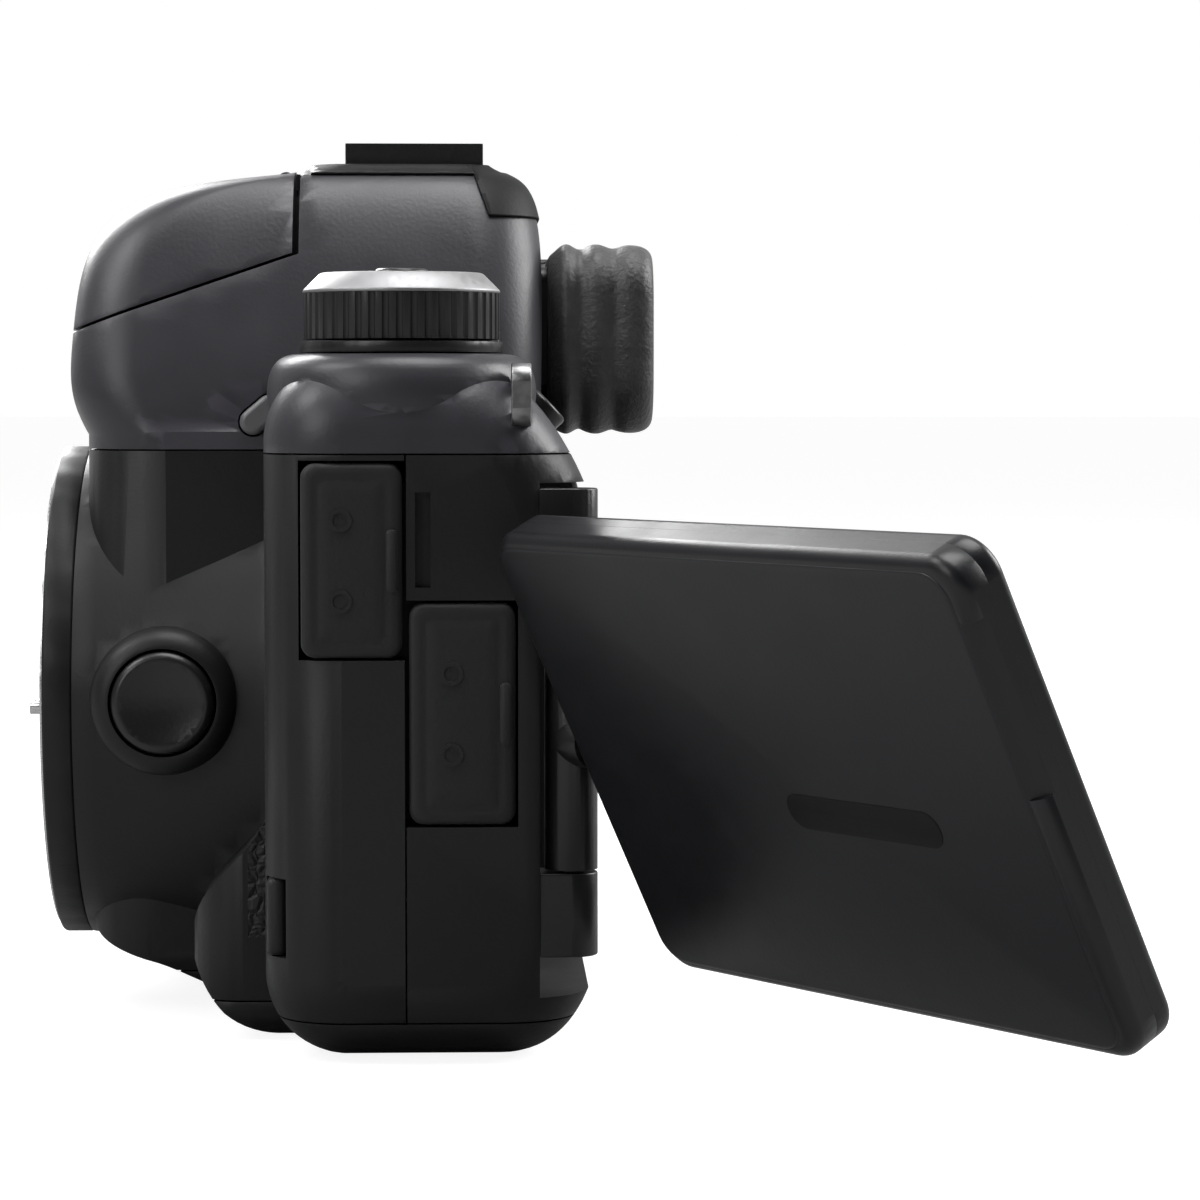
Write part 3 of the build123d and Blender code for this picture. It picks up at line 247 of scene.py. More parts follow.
def vary_colour(tree, shader, factor, dark, light):
    mix = tree.nodes.new("ShaderNodeMix")
    mix.data_type = "RGBA"
    mix.inputs["A"].default_value = (*dark, 1)
    mix.inputs["B"].default_value = (*light, 1)
    tree.links.new(factor, mix.inputs["Factor"])
    tree.links.new(mix.outputs["Result"], shader.inputs["Base Color"])
    return mix


def vary_roughness(tree, shader, factor, low, high, smooth, rough):
    """Roughness from smooth to rough as a factor goes from low to high."""
    tree.links.new(map_node(tree, factor, low, high, smooth, rough), shader.inputs["Roughness"])


def wear_edges(tree, shader, mix, colour, amount):
    """Lightens sharp outward edges, where handling polishes the plastic."""
    flat, sharp = 0.53, 0.62
    geometry = tree.nodes.new("ShaderNodeNewGeometry")
    edge = map_node(tree, geometry.outputs["Pointiness"], flat, sharp, 0.0, amount)
    worn = tree.nodes.new("ShaderNodeMix")
    worn.data_type = "RGBA"
    worn.inputs["B"].default_value = (*colour, 1)
    tree.links.new(mix.outputs["Result"], worn.inputs["A"])
    tree.links.new(edge, worn.inputs["Factor"])
    tree.links.new(worn.outputs["Result"], shader.inputs["Base Color"])


def scaled(colour, factor):
    return tuple(min(1.0, c * factor) for c in colour)


def plastic(name, colour, roughness, grain=0.5 * MM, depth=0.04 * MM, wear=0.35, **inputs):
    """Moulded plastic with a spark-eroded grain, faint blotches and handled edges."""
    material, tree, shader = material_base(name, colour, roughness, **inputs)
    where = position_node(tree)
    fine = noise_node(tree, where, grain, 2.0)
    broad = noise_node(tree, where, 12 * MM, 4.0)
    mix = vary_colour(tree, shader, broad, scaled(colour, 0.82), scaled(colour, 1.18))
    wear_edges(tree, shader, mix, scaled(colour, 2.6), wear)
    vary_roughness(tree, shader, broad, 0.3, 0.7, roughness - 0.05, roughness + 0.06)
    bump_node(tree, shader, fine, 0.6, depth)
    return material


def leatherette(name, colour, roughness, cell=1.3 * MM, depth=0.22 * MM):
    """Pebbled rubber: rounded cells of uneven size with a fine skin over them."""
    material, tree, shader = material_base(name, colour, roughness)
    where = position_node(tree)
    warp = tree.nodes.new("ShaderNodeVectorMath")
    warp.operation = "MULTIPLY_ADD"
    swirl = tree.nodes.new("ShaderNodeTexNoise")
    swirl.inputs["Scale"].default_value = 0.8 / cell
    tree.links.new(where, swirl.inputs["Vector"])
    tree.links.new(swirl.outputs["Color"], warp.inputs[0])
    warp.inputs[1].default_value = (cell * 0.9,) * 3
    tree.links.new(where, warp.inputs[2])
    cells = tree.nodes.new("ShaderNodeTexVoronoi")
    cells.feature = "DISTANCE_TO_EDGE"
    cells.inputs["Scale"].default_value = 1 / cell
    tree.links.new(warp.outputs["Vector"], cells.inputs["Vector"])
    crown = 0.28
    pebble = map_node(tree, cells.outputs["Distance"], 0.0, crown, 0.0, 1.0)
    vary_colour(tree, shader, pebble, scaled(colour, 0.55), scaled(colour, 1.15))
    vary_roughness(tree, shader, pebble, 0.0, 1.0, roughness + 0.15, roughness - 0.05)
    skin = bump_node(tree, shader, noise_node(tree, where, cell * 0.18, 2.0), 0.3, depth * 0.2)
    bump_node(tree, shader, pebble, 0.85, depth, below=skin)
    return material


def rubber(name, colour, roughness, mottle=0.35, depth=0.08 * MM):
    """Smooth soft rubber with a dusty bloom."""
    material, tree, shader = material_base(name, colour, roughness, Sheen_Weight=0.08, Sheen_Roughness=0.5)
    where = position_node(tree)
    bloom = noise_node(tree, where, 3 * MM, 6.0, 0.7)
    vary_colour(tree, shader, bloom, scaled(colour, 1 - mottle), scaled(colour, 1 + mottle))
    vary_roughness(tree, shader, bloom, 0.3, 0.7, roughness - 0.08, roughness + 0.1)
    bump_node(tree, shader, noise_node(tree, where, 0.6 * MM, 3.0), 0.5, depth)
    return material


def metal(name, colour, roughness, stretch=(1, 1, 12), depth=0.01 * MM):
    """Turned or brushed metal with streaks along one way."""
    material, tree, shader = material_base(name, colour, roughness, metallic=1.0, Anisotropic=0.35)
    where = position_node(tree, stretch)
    streaks = noise_node(tree, where, 0.8 * MM, 3.0)
    vary_colour(tree, shader, streaks, scaled(colour, 0.85), scaled(colour, 1.1))
    vary_roughness(tree, shader, streaks, 0.3, 0.7, roughness - 0.06, roughness + 0.08)
    bump_node(tree, shader, streaks, 0.3, depth)
    return material


def gloss(name, colour, roughness=0.06):
    """Dark display glass or a polished lamp window, with a breath of dust."""
    material, tree, shader = material_base(
        name, colour, roughness, Coat_Weight=1.0, Coat_Roughness=0.03, Specular_IOR_Level=0.6
    )
    where = position_node(tree)
    dust = noise_node(tree, where, 4 * MM, 5.0)
    vary_colour(tree, shader, dust, scaled(colour, 0.9), scaled(colour, 1.15))
    vary_roughness(tree, shader, dust, 0.45, 0.75, roughness, roughness + 0.07)
    return material


def clear(name, colour):
    """Optical glass."""
    material, tree, shader = material_base(name, colour, 0.03, Transmission_Weight=0.9, IOR=1.52)
    where = position_node(tree)
    bump_node(tree, shader, noise_node(tree, where, 10 * MM, 1.0), 0.05, 0.02 * MM)
    return material


def ribbed_glass(name, colour, pitch):
    """A flash window: fine prisms over a bright reflector."""
    material, tree, shader = material_base(name, colour, 0.22, Coat_Weight=0.6, Coat_Roughness=0.1)
    where = position_node(tree)
    ribs = tree.nodes.new("ShaderNodeTexWave")
    ribs.bands_direction = "X"
    one_band_a_metre = 0.314
    ribs.inputs["Scale"].default_value = one_band_a_metre / pitch
    tree.links.new(where, ribs.inputs["Vector"])
    vary_colour(tree, shader, ribs.outputs["Fac"], scaled(colour, 0.7), scaled(colour, 1.1))
    bump_node(tree, shader, ribs.outputs["Fac"], 0.5, 0.2 * MM)
    return material


def board_material(name):
    """Solder mask with copper tracks."""
    material, tree, shader = material_base(name, (0.01, 0.09, 0.04), 0.4)
    where = position_node(tree)
    rows_a_metre = 260
    tracks = tree.nodes.new("ShaderNodeTexBrick")
    tracks.inputs["Scale"].default_value = rows_a_metre
    tracks.inputs["Color1"].default_value = (0.012, 0.10, 0.045, 1)
    tracks.inputs["Color2"].default_value = (0.009, 0.08, 0.036, 1)
    tracks.inputs["Mortar"].default_value = (0.05, 0.2, 0.09, 1)
    tree.links.new(where, tracks.inputs["Vector"])
    tree.links.new(tracks.outputs["Color"], shader.inputs["Base Color"])
    return material


def make_materials():
    """One finish for each of the record's slots, and one for the strap lugs."""
    return {
        "body_plastic": plastic("body_plastic", (0.0095, 0.0095, 0.01), 0.46, Specular_IOR_Level=0.34),
        "top_plastic": plastic("top_plastic", (0.04, 0.038, 0.0445), 0.38, Specular_IOR_Level=0.42),
        "grip_rubber": leatherette("grip_rubber", (0.01, 0.01, 0.0105), 0.55),
        "cover_rubber": rubber("cover_rubber", (0.0075, 0.0075, 0.008), 0.6),
        "eyecup_rubber": rubber("eyecup_rubber", (0.05, 0.05, 0.0505), 0.48, mottle=0.85, depth=0.3 * MM),
        "control_plastic": plastic("control_plastic", (0.01, 0.01, 0.0105), 0.34, wear=0.5),
        "dial_metal": plastic("dial_metal", (0.013, 0.013, 0.0135), 0.38),
        "screen_plastic": plastic(
            "screen_plastic", (0.009, 0.0093, 0.0112), 0.33, depth=0.02 * MM, Specular_IOR_Level=0.42
        ),
        "screen_glass": gloss("screen_glass", (0.006, 0.006, 0.008)),
        "mount_steel": metal("mount_steel", (0.62, 0.62, 0.63), 0.28),
        "gold_contact": metal("gold_contact", (0.85, 0.62, 0.25), 0.25, stretch=(1, 1, 1)),
        "lens_glass": clear("lens_glass", (0.75, 0.8, 0.85)),
        "mirror_face": metal("mirror_face", (0.9, 0.91, 0.93), 0.05, stretch=(1, 1, 1), depth=0.0),
        "inner_black": plastic("inner_black", (0.012, 0.012, 0.012), 0.75, wear=0.0),
        "inner_metal": metal("inner_metal", (0.55, 0.55, 0.56), 0.45, stretch=(1, 1, 1)),
        "board": board_material("board"),
        "shoe_steel": metal("shoe_steel", (0.07, 0.07, 0.072), 0.36, stretch=(1, 12, 1)),
        "dark_steel": metal("dark_steel", (0.3, 0.3, 0.305), 0.4, stretch=(1, 1, 1)),
        "screw_steel": metal("screw_steel", (0.06, 0.06, 0.062), 0.4, stretch=(1, 1, 1)),
    }


finishes = make_materials()
# Finishes that no slot asks for: they dress single pieces.
# A light satin metal for the mode dial's top rim: painted highlight along the dial's top edge.
dial_rim_highlight_silver = metal("dial_rim_highlight_silver", (0.34, 0.34, 0.345), 0.5, stretch=(1, 1, 1))
# Near black for the sheets over the hump's crown and back edge: painted shade.
shade_sheet_black = plastic("shade_sheet_black", (0.004, 0.004, 0.0043), 0.5, wear=0.2, Specular_IOR_Level=0.2)
bar_black = plastic(
    "bar_black", (0.0035, 0.0035, 0.004), 0.42, depth=0.01 * MM, wear=0.0, Specular_IOR_Level=0.25
)
# A light grey for the flash button, far lighter than the black plastics round it: painted highlight for the bright
# spot on the button.
flash_button_highlight_grey = plastic("flash_button_highlight_grey", (0.13, 0.13, 0.135), 0.33, wear=0.0)
white_mark = plastic("white_mark", (0.62, 0.62, 0.6), 0.5, depth=0.01 * MM, wear=0.0)
red_mark = plastic("red_mark", (0.5, 0.03, 0.03), 0.45, depth=0.01 * MM, wear=0.0)
flash_window = ribbed_glass("flash_window", (0.62, 0.64, 0.66), pitch=1.1 * MM)
lamp_red = gloss("lamp_red", (0.09, 0.004, 0.004), 0.08)
display_grey = plastic("display_grey", (0.18, 0.2, 0.17), 0.35, depth=0.01 * MM, wear=0.0)
display_ink = plastic("display_ink", (0.02, 0.022, 0.02), 0.4, depth=0.01 * MM, wear=0.0)


# ---- the carried-over CAD nodes ----
def finish_cad_nodes():
    """Gives every CAD node its slot's finish and softens its moulded edges."""
    slots = {part["node"]: part["material_slot"] for part in frame["record"]["subparts"]}
    bevel_mm = {
        "body_plastic": 0.35, "top_plastic": 0.35, "grip_rubber": 0.4, "cover_rubber": 0.5,
        "control_plastic": 0.2, "screen_plastic": 0.3, "dial_metal": 0.12, "mount_steel": 0.15,
        "shoe_steel": 0.12,
    }
    for name, obj in nodes.items():
        obj.data.materials.clear()
        obj.data.materials.append(finishes[slots[name]])
        width = bevel_mm.get(slots[name])
        if width:
            weld = obj.modifiers.new("weld", "WELD")
            weld.merge_threshold = SAME_POINT
            soften(obj, width * MM)
    nodes["flash_lens"].data.materials[0] = flash_window
    # The light grey on the flash button is a painted highlight.
    nodes["flash_button"].data.materials[0] = flash_button_highlight_grey
    nodes["strap_lugs"].data.materials[0] = finishes["dark_steel"]


# ---- lens mount ----
def lens_mount():
    """A throat baffle, and the two index marks on the ring's face."""
    low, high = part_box("lens_mount_ring")
    ring_radius = (high.x - low.x) / 2
    front = place(Vector((0, low.y, middle("lens_mount_ring").z)), -Y, X)
    outer, lip, edge = ring_radius - 4.7 * MM, ring_radius - 5.2 * MM, ring_radius - 6.6 * MM
    mouth, step, rim, back = -3.9 * MM, -6.0 * MM, -7.0 * MM, -7.5 * MM
    baffle = [(outer, mouth), (outer, back), (edge, back), (edge, rim), (lip, step), (lip, mouth)]
    lathe("mount_baffle", front, baffle, finishes["inner_black"], "casing", "inner_black", closed=True)

    sunk, proud = -0.02 * MM, 0.03 * MM
    mark_radius = ring_radius - 0.9 * MM
    inward = 0.3 * MM
    dot = circle(0.75 * MM, 20, (0, mark_radius - inward))
    slab("mount_index_dot", front, [dot], sunk, proud, red_mark, "casing", "mount_steel")
    angle = math.radians(58)
    spot = (mark_radius * math.cos(angle) - 0.2 * MM, mark_radius * math.sin(angle) - inward)
    square = rounded(1.3 * MM, 1.3 * MM, 0.15 * MM, spot)
    slab("mount_index_square", front, square, sunk, proud, white_mark, "casing", "mount_steel")


# ---- viewfinder ----
def eyecup():
    """The rubber cup: a rolled lip over a waist of soft folds, open through the middle."""
    low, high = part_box("eyecup")
    width, height, depth = high.x - low.x, high.z - low.z, high.y - low.y
    back = place(Vector((0, low.y, (low.z + high.z) / 2)), Y, X)
    # Shares of the width and the height, corner radius in mm, share of the depth.
    section = [
        (0.86, 0.86, 5.0, 0.00),
        (0.88, 0.88, 5.0, 0.05),
        (0.985, 0.975, 6.0, 0.13),
        (0.995, 0.99, 6.2, 0.20),
        (0.95, 0.93, 6.0, 0.27),
        (0.945, 0.925, 6.0, 0.33),
        (0.985, 0.98, 6.2, 0.40),
        (0.99, 0.985, 6.4, 0.50),
        (0.955, 0.94, 6.0, 0.58),
        (0.95, 0.935, 6.0, 0.64),
        (0.985, 0.975, 6.4, 0.72),
        (0.985, 0.975, 6.6, 0.84),
        (0.965, 0.95, 6.6, 0.92),
        (0.93, 0.905, 6.4, 0.975),
        (0.87, 0.83, 5.6, 1.00),
        (0.81, 0.75, 5.0, 0.985),
        (0.77, 0.70, 4.6, 0.94),
        (0.74, 0.67, 4.4, 0.84),
        (0.69, 0.63, 3.8, 0.60),
        (0.62, 0.57, 3.0, 0.30),
        (0.57, 0.52, 2.4, 0.10),
        (0.55, 0.50, 1.8, 0.00),
    ]
    rings = [
        (rounded(width * across, height * up, corner * MM, steps=9), depth * along)
        for across, up, corner, along in section
    ]
    cup = loft("eyecup_rubber", back, rings, finishes["eyecup_rubber"], "casing", "eyecup_rubber", caps=False)
    smooth = cup.modifiers.new("smooth", "SUBSURF")
    smooth.levels = smooth.render_levels = 2
    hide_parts("eyecup")


# ---- hot shoe ----
def hot_shoe():
    """Contacts on a black plate, and two spring leaves, in the shoe's channel."""
    low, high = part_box("hot_shoe")
    base = 0.8 * MM
    up = place(Vector((0, (low.y + high.y) / 2, low.z + base)), Z, X)
    sunk = -0.05 * MM
    spots = [(-3.6, 3.6), (3.6, 3.6), (-3.6, -2.6), (3.6, -2.6)]
    discs = [circle(1.5 * MM, 32)] + [circle(1.1 * MM, 24, (x * MM, y * MM)) for x, y in spots]
    slab("shoe_contacts", up, discs, sunk, 0.18 * MM, finishes["gold_contact"], "casing", "gold_contact",
         bevel=0.06 * MM)
    plate = rounded(15.6 * MM, 13.0 * MM, 1.2 * MM)
    slab("shoe_plate", up, plate, sunk, 0.1 * MM, finishes["inner_black"], "casing", "inner_black")
    for side in (-1, 1):
        leaf = rounded(1.9 * MM, 11.0 * MM, 0.5 * MM, (side * 8.0 * MM, 0.4 * MM))
        slab(f"shoe_spring_{'left' if side > 0 else 'right'}", up, leaf, 1.75 * MM, 2.05 * MM,
             finishes["mount_steel"], "casing", "mount_steel", bevel=0.08 * MM)


# ---- hump ----
def hump_shade_sheets():
    """Near-black sheets over the hump's crown round the shoe, and down the hump's back edge: painted shade on the
    hump's dark top rear.
    """
    lean = Vector((0, 1, 0.35)).normalized()
    back_cut = lean.dot(Vector((0, 14.9 * MM, 100 * MM)))
    front_cut, back_foot, crown = -5.6 * MM, 96.4 * MM, 101.6 * MM
    # Each zone lies beyond its planes, given as (normal, distance from the origin).
    zones = {
        "hump_shade_back": ((Z, back_foot), (lean, back_cut)),
        "hump_shade_crown": ((Z, crown), (Y, front_cut), (-lean, -back_cut)),
    }
    inside = Vector((0, 2 * MM, 88 * MM))
    least_outward = 0.2
    gap, thickness = 0.05 * MM, 0.3 * MM

    def faces_inward(face):
        away = face.calc_center_median() - inside
        return face.normal.dot(away) < least_outward * away.length

    for name, planes in zones.items():
        build = bmesh.new()
        build.from_mesh(nodes["top_cover"].data)
        bmesh.ops.remove_doubles(build, verts=build.verts, dist=SAME_POINT)
        for normal, reach in planes:
            everything = build.verts[:] + build.edges[:] + build.faces[:]
            bmesh.ops.bisect_plane(build, geom=everything, plane_co=normal * reach, plane_no=normal,
                                   clear_inner=True, dist=SAME_POINT / 2)
        build.normal_update()
        bmesh.ops.delete(build, geom=[f for f in build.faces if faces_inward(f)], context="FACES")
        build.verts.index_update()
        faces = [[v.index for v in face.verts] for face in build.faces]
        verts = [v.co + v.normal * gap for v in build.verts]
        build.free()
        # Each sheet is near black: painted shade on the hump's top rear.
        shade_sheet = piece(name, verts, faces, shade_sheet_black, "casing", "control_plastic", smooth=50)
        shell = shade_sheet.modifiers.new("shell", "SOLIDIFY")
        shell.thickness = thickness
        shell.offset = 1


# ---- dials ----
def mode_dial():
    """A silver bevelled rim, whose light colour is a painted highlight along the dial's top edge, and generic
    position marks on the dial's top.
    """
    low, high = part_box("mode_dial")
    centre = Vector((middle("mode_dial").x, middle("mode_dial").y, high.z))
    radius = (high.x - low.x) / 2
    up = place(centre, Z, X)
    # Distance in from the dial's edge, and height over its top, in mm.
    section = (
        (0.3, -2.2), (-0.05, -2.2), (-0.1, -2.02), (0.02, -1.82),
        (1.78, -0.06), (2.05, 0.06), (2.6, 0.06), (2.7, -0.1),
    )
    rim = [(radius - inward * MM, level * MM) for inward, level in section]
    lathe("mode_dial_rim", up, rim, dial_rim_highlight_silver, "mode_dial", "mount_steel", count=96, closed=True,
          smooth=60)
    marks = []
    count = 12
    reach = radius - 4.4 * MM
    for index in range(count):
        angle = 2 * math.pi * index / count
        spot = (reach * math.cos(angle), reach * math.sin(angle))
        marks.append((
            turned(rounded(1.9 * MM, 0.55 * MM, 0.2 * MM), angle, spot),
            circle(0.6 * MM, 20, spot),
            turned(rounded(1.2 * MM, 1.2 * MM, 0.2 * MM), angle, spot),
            triangle(0.85 * MM, spot, angle),
        )[index % 4])
    slab("mode_dial_marks", up, marks, -0.03 * MM, 0.03 * MM, white_mark, "mode_dial", "dial_metal")
    beside, below = 2.6 * MM, 0.3 * MM
    edge = Vector((centre.x - radius - beside, centre.y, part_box("power_switch")[0].z - below))
    slab("mode_dial_index", place(edge, Z, X), rounded(2.2 * MM, 0.6 * MM, 0.2 * MM), -0.2 * MM, 0.12 * MM,
         white_mark, "casing", "body_plastic")


def rear_dial():
    """Direction marks round the set button, and a raised ring on it."""
    low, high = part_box("quick_dial")
    centre = middle("quick_dial")
    back = place(Vector((centre.x, high.y, centre.z)), Y, X)
    reach = (high.x - low.x) / 2 - 3.4 * MM
    marks = [
        triangle(0.8 * MM, (reach * math.cos(angle), reach * math.sin(angle)), angle)
        for angle in (0, math.pi / 2, math.pi, 3 * math.pi / 2)
    ]
    slab("quick_dial_marks", back, marks, -0.03 * MM, 0.03 * MM, white_mark, "quick_dial", "dial_metal")
    face = place(Vector((centre.x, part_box("set_button")[1].y, centre.z)), Y, X)
    inner, outer, sunk, proud = 4.6 * MM, 5.0 * MM, -0.05 * MM, 0.04 * MM
    ring = [(inner, sunk), (inner, proud), (outer, proud), (outer, sunk)]
    lathe("set_button_ring", face, ring, finishes["dial_metal"], "set_button", "dial_metal", closed=True)


# ---- buttons' generic marks ----
def button_marks():
    """Small printed signs: lines for the menu, a play triangle, an i for information, a disc for the lock."""
    face_depth = 0.02 * MM
    for node, shapes in {
        "button_menu": [rounded(2.0 * MM, 0.3 * MM, 0.1 * MM, (0, d * MM)) for d in (-0.7, 0, 0.7)],
        "button_playback": [triangle(1.1 * MM, (0, 0), math.pi)],
        "button_info": [
            circle(0.3 * MM, 16, (0, 0.9 * MM)),
            rounded(0.5 * MM, 1.4 * MM, 0.15 * MM, (0, -0.4 * MM)),
        ],
        "button_ae_lock": [circle(0.8 * MM, 24)],
    }.items():
        outward = -Vector(joints[node.replace("button_", "") + "_press"]["axis"])
        reach = span(node, outward)[1]
        rim = [v.co for v in nodes[node].data.vertices if v.co.dot(outward) > reach - face_depth]
        face = place(sum(rim, Vector()) / len(rim), outward, -X)
        slab(f"{node}_mark", face, shapes, -0.04 * MM, 0.03 * MM, white_mark, node, "control_plastic")


# ---- screen ----
def screen_frame():
    """The panel's own directions: along it from the hinge, across it, and out of its cover."""
    along = Vector(joints["screen_tilt"]["axis"]).normalized()
    faces = nodes["screen_glass"].data.polygons
    normal = max(faces, key=lambda f: f.area).normal.copy()
    spans = {1: span("screen_back_cover", normal)[1], -1: span("screen_glass", normal)[1]}
    out = normal if spans[1] > spans[-1] else -normal
    return along, out.cross(along), out


def screen():
    """The cover's satin plate with a plain bar on it, and the display's border."""
    along, across, out = screen_frame()
    start, end = span("screen_back_cover", along)
    low, high = span("screen_back_cover", across)
    top = span("screen_back_cover", out)[1]
    middle_line = across * (low + high) / 2
    face = place(along * (start + end) / 2 + middle_line + out * top, out, along)
    edge = 2.6 * MM
    steps = ((0.0, -0.25 * MM), (0.0, 0.0), (0.12 * MM, 0.1 * MM), (0.4 * MM, 0.14 * MM))
    rings = stepped(end - start - edge, high - low - edge, 3.2 * MM, steps, (-0.6 * MM, 0))
    loft("screen_cover_plate", face, rings, finishes["screen_plastic"], "screen", "screen_plastic", smooth=50)
    steps = ((0.0, 0.1 * MM), (0.0, 0.19 * MM), (0.4 * MM, 0.24 * MM))
    bar = stepped(24 * MM, 4.2 * MM, 2.0 * MM, steps, (9.5 * MM, -3.0 * MM), tighten=0.75)
    loft("screen_cover_bar", face, bar, bar_black, "screen", "control_plastic", smooth=50)

    glass_low = span("screen_glass", out)[0]
    glass_start, glass_end = span("screen_glass", along)
    display = place(along * (glass_start + glass_end) / 2 + middle_line + out * glass_low, -out, along)
    margin, view_height, line = 5 * MM, 41.0 * MM, 0.35 * MM
    view_width = glass_end - glass_start - margin
    outer = rounded(view_width, view_height, 0.8 * MM)
    inner = rounded(view_width - 2 * line, view_height - 2 * line, 0.5 * MM)
    sunk, proud = -0.02 * MM, 0.02 * MM
    border = [(outer, sunk), (outer, proud), (inner, proud), (inner, sunk)]
    loft("display_border", display, border, display_grey, "screen", "screen_glass", caps=False)


# ---- rubber covers on the left side ----
def terminal_covers():
    """Crowned rubber plugs with a lifting lip and two moulded rings, in place of the plain cut pieces."""
    material, slot_name = finishes["cover_rubber"], "cover_rubber"
    for node in ("terminal_cover_front", "terminal_cover_rear"):
        low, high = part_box(node)
        width, height = high.y - low.y, high.z - low.z
        side = place(Vector((high.x, (low.y + high.y) / 2, (low.z + high.z) / 2)), X, Y)
        steps = (
            (0.0, low.x - high.x), (0.0, -0.5 * MM), (0.15 * MM, -0.12 * MM), (0.55 * MM, 0.05 * MM),
            (1.3 * MM, 0.12 * MM), (1.7 * MM, 0.02 * MM), (2.1 * MM, 0.12 * MM), (3.2 * MM, 0.2 * MM),
        )
        rings = stepped(width, height, 1.6 * MM, steps, tighten=0.5, least=0.4 * MM)
        cover = loft(f"{node}_rubber", side, rings, material, node, slot_name, smooth=60)
        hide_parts(node)
        spot = (width / 2 - 1.1 * MM, 0)
        foot = rounded(1.3 * MM, 7.0 * MM, 0.6 * MM, spot)
        crown = rounded(0.8 * MM, 6.4 * MM, 0.39 * MM, spot)
        lip = [(foot, 0.0), (foot, 0.45 * MM), (crown, 0.62 * MM)]
        loft(f"{node}_lip", side, lip, material, node, slot_name, smooth=60)
        outer, inner, rise = 1.3 * MM, 0.85 * MM, 0.28 * MM
        ring = [(outer, 0.0), (outer, rise), (inner, rise), (inner, 0.0)]
        for index, level in enumerate((-4.5, 4.5)):
            sign = place(side @ Vector((-1.2 * MM, level * MM, 0.1 * MM)), X, Y)
            lathe(f"{node}_sign_{index + 1}", sign, ring, material, node, slot_name, count=36, closed=True)


def remote_plug():
    """A small rubber plug low on the front corner of the left side."""
    corner_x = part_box("front_cover")[1].x - 4.3 * MM
    side = place(Vector((corner_x, -8.05 * MM, 16.15 * MM)), X, Y)
    steps = ((0.0, -3.2 * MM), (0.0, -0.6 * MM), (0.2 * MM, -0.2 * MM), (0.5 * MM, 0.0))
    rings = stepped(2.1 * MM, 8.7 * MM, 0.5 * MM, steps, tighten=0.0)
    loft("remote_plug", side, rings, finishes["cover_rubber"], "casing", "cover_rubber", smooth=60)


# ---- tripod socket ----
def tripod_thread():
    """The socket's thread: a helical ridge inside the bore."""
    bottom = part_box("tripod_socket")[0].z
    bore, pitch, turns, steps = 3.175 * MM, 1.27 * MM, 4, 36
    crest, foot = bore - 0.5 * MM, bore - 0.02 * MM
    start, ridge, highest = 0.15 * MM, 0.9 * MM, 5.4 * MM
    verts, faces = [], []
    total = turns * steps
    for i in range(total + 1):
        angle = 2 * math.pi * i / steps
        base = bottom + start + pitch * i / steps
        for radius, rise in ((foot, 0.0), (crest, ridge / 2), (foot, ridge)):
            level = min(base + rise, highest)
            verts.append(Vector((radius * math.cos(angle), radius * math.sin(angle), level)))
    for i in range(total):
        a, b = 3 * i, 3 * i + 3
        faces += [(a, b, b + 1, a + 1), (a + 1, b + 1, b + 2, a + 2), (a + 2, b + 2, b, a)]
    faces += [(0, 1, 2), (3 * total + 2, 3 * total + 1, 3 * total)]
    piece("tripod_thread", verts, faces, finishes["mount_steel"], "casing", "mount_steel", smooth=50)


# ---- top display ----
SEGMENTS = {"1": "bc", "2": "abged", "5": "afgcd", "6": "afgedc"}


def digit(char, centre, height):
    """The outlines of a seven-segment digit."""
    width, line = height * 0.5, height * 0.12
    places = {
        "a": (0, 1, True), "b": (1, 0.5, False), "c": (1, -0.5, False), "d": (0, -1, True),
        "e": (-1, -0.5, False), "f": (-1, 0.5, False), "g": (0, 0, True),
    }
    shapes = []
    for key in SEGMENTS[char]:
        across, up, flat = places[key]
        size = (width - line, line) if flat else (line, height / 2 - line)
        shapes.append(
            rounded(*size, line * 0.4, (centre[0] + across * width / 2, centre[1] + up * height / 2), steps=3)
        )
    return shapes


def top_display():
    """The grey display under its window, with generic exposure figures, a scale and a battery sign."""
    low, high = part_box("top_lcd_window")
    up = place(Vector(((low.x + high.x) / 2, (low.y + high.y) / 2, high.z)), Z, -X)
    plate = rounded(high.x - low.x - 2.4 * MM, high.y - low.y - 2.2 * MM, 0.6 * MM)
    slab("top_display_plate", up, plate, -0.05 * MM, 0.03 * MM, display_grey, "casing", "screen_glass")
    line, tall, small = 0.6 * MM, 3.2 * MM, 0.1 * MM
    shapes = []
    for figures, start, pitch in (("125", -8.5, 2.6), ("56", 1.2, 2.9)):
        for index, char in enumerate(figures):
            shapes += digit(char, ((start + pitch * index) * MM, line), tall)
    point, scale, cells = (2.65 * MM, -0.9 * MM), -2.9 * MM, 7.6
    shapes.append(rounded(0.45 * MM, 0.45 * MM, small, point))
    shapes += [rounded(0.35 * MM, 0.9 * MM, small, ((-10 + 0.9 * i) * MM, scale)) for i in range(9)]
    shapes += [rounded(0.7 * MM, 1.3 * MM, small, ((cells + i) * MM, line)) for i in range(3)]
    slab("top_display_ink", up, shapes, 0.02 * MM, 0.06 * MM, display_ink, "casing", "screen_glass")


# ---- the recess behind the screen ----
def screen_recess():
    """Rubber stops in the recess's corners, which the closed screen rests against."""
    recess_floor, left, right, bottom, top = 21.5, 44.0, -21.0, 11.5, 60.5
    corners = ((right, bottom), (right, top), (left, bottom), (left, top))
    steps = ((0.0, -0.2 * MM), (0.0, 0.25 * MM), (0.2 * MM, 0.4 * MM))
    rings = stepped(5 * MM, 2 * MM, 0.9 * MM, steps)
    for index, (x, z) in enumerate(corners):
        back = place(Vector((x, recess_floor, z)) * MM, Y, X)
        loft(f"recess_stop_{index + 1}", back, rings, finishes["cover_rubber"], "casing", "cover_rubber",
             smooth=60)


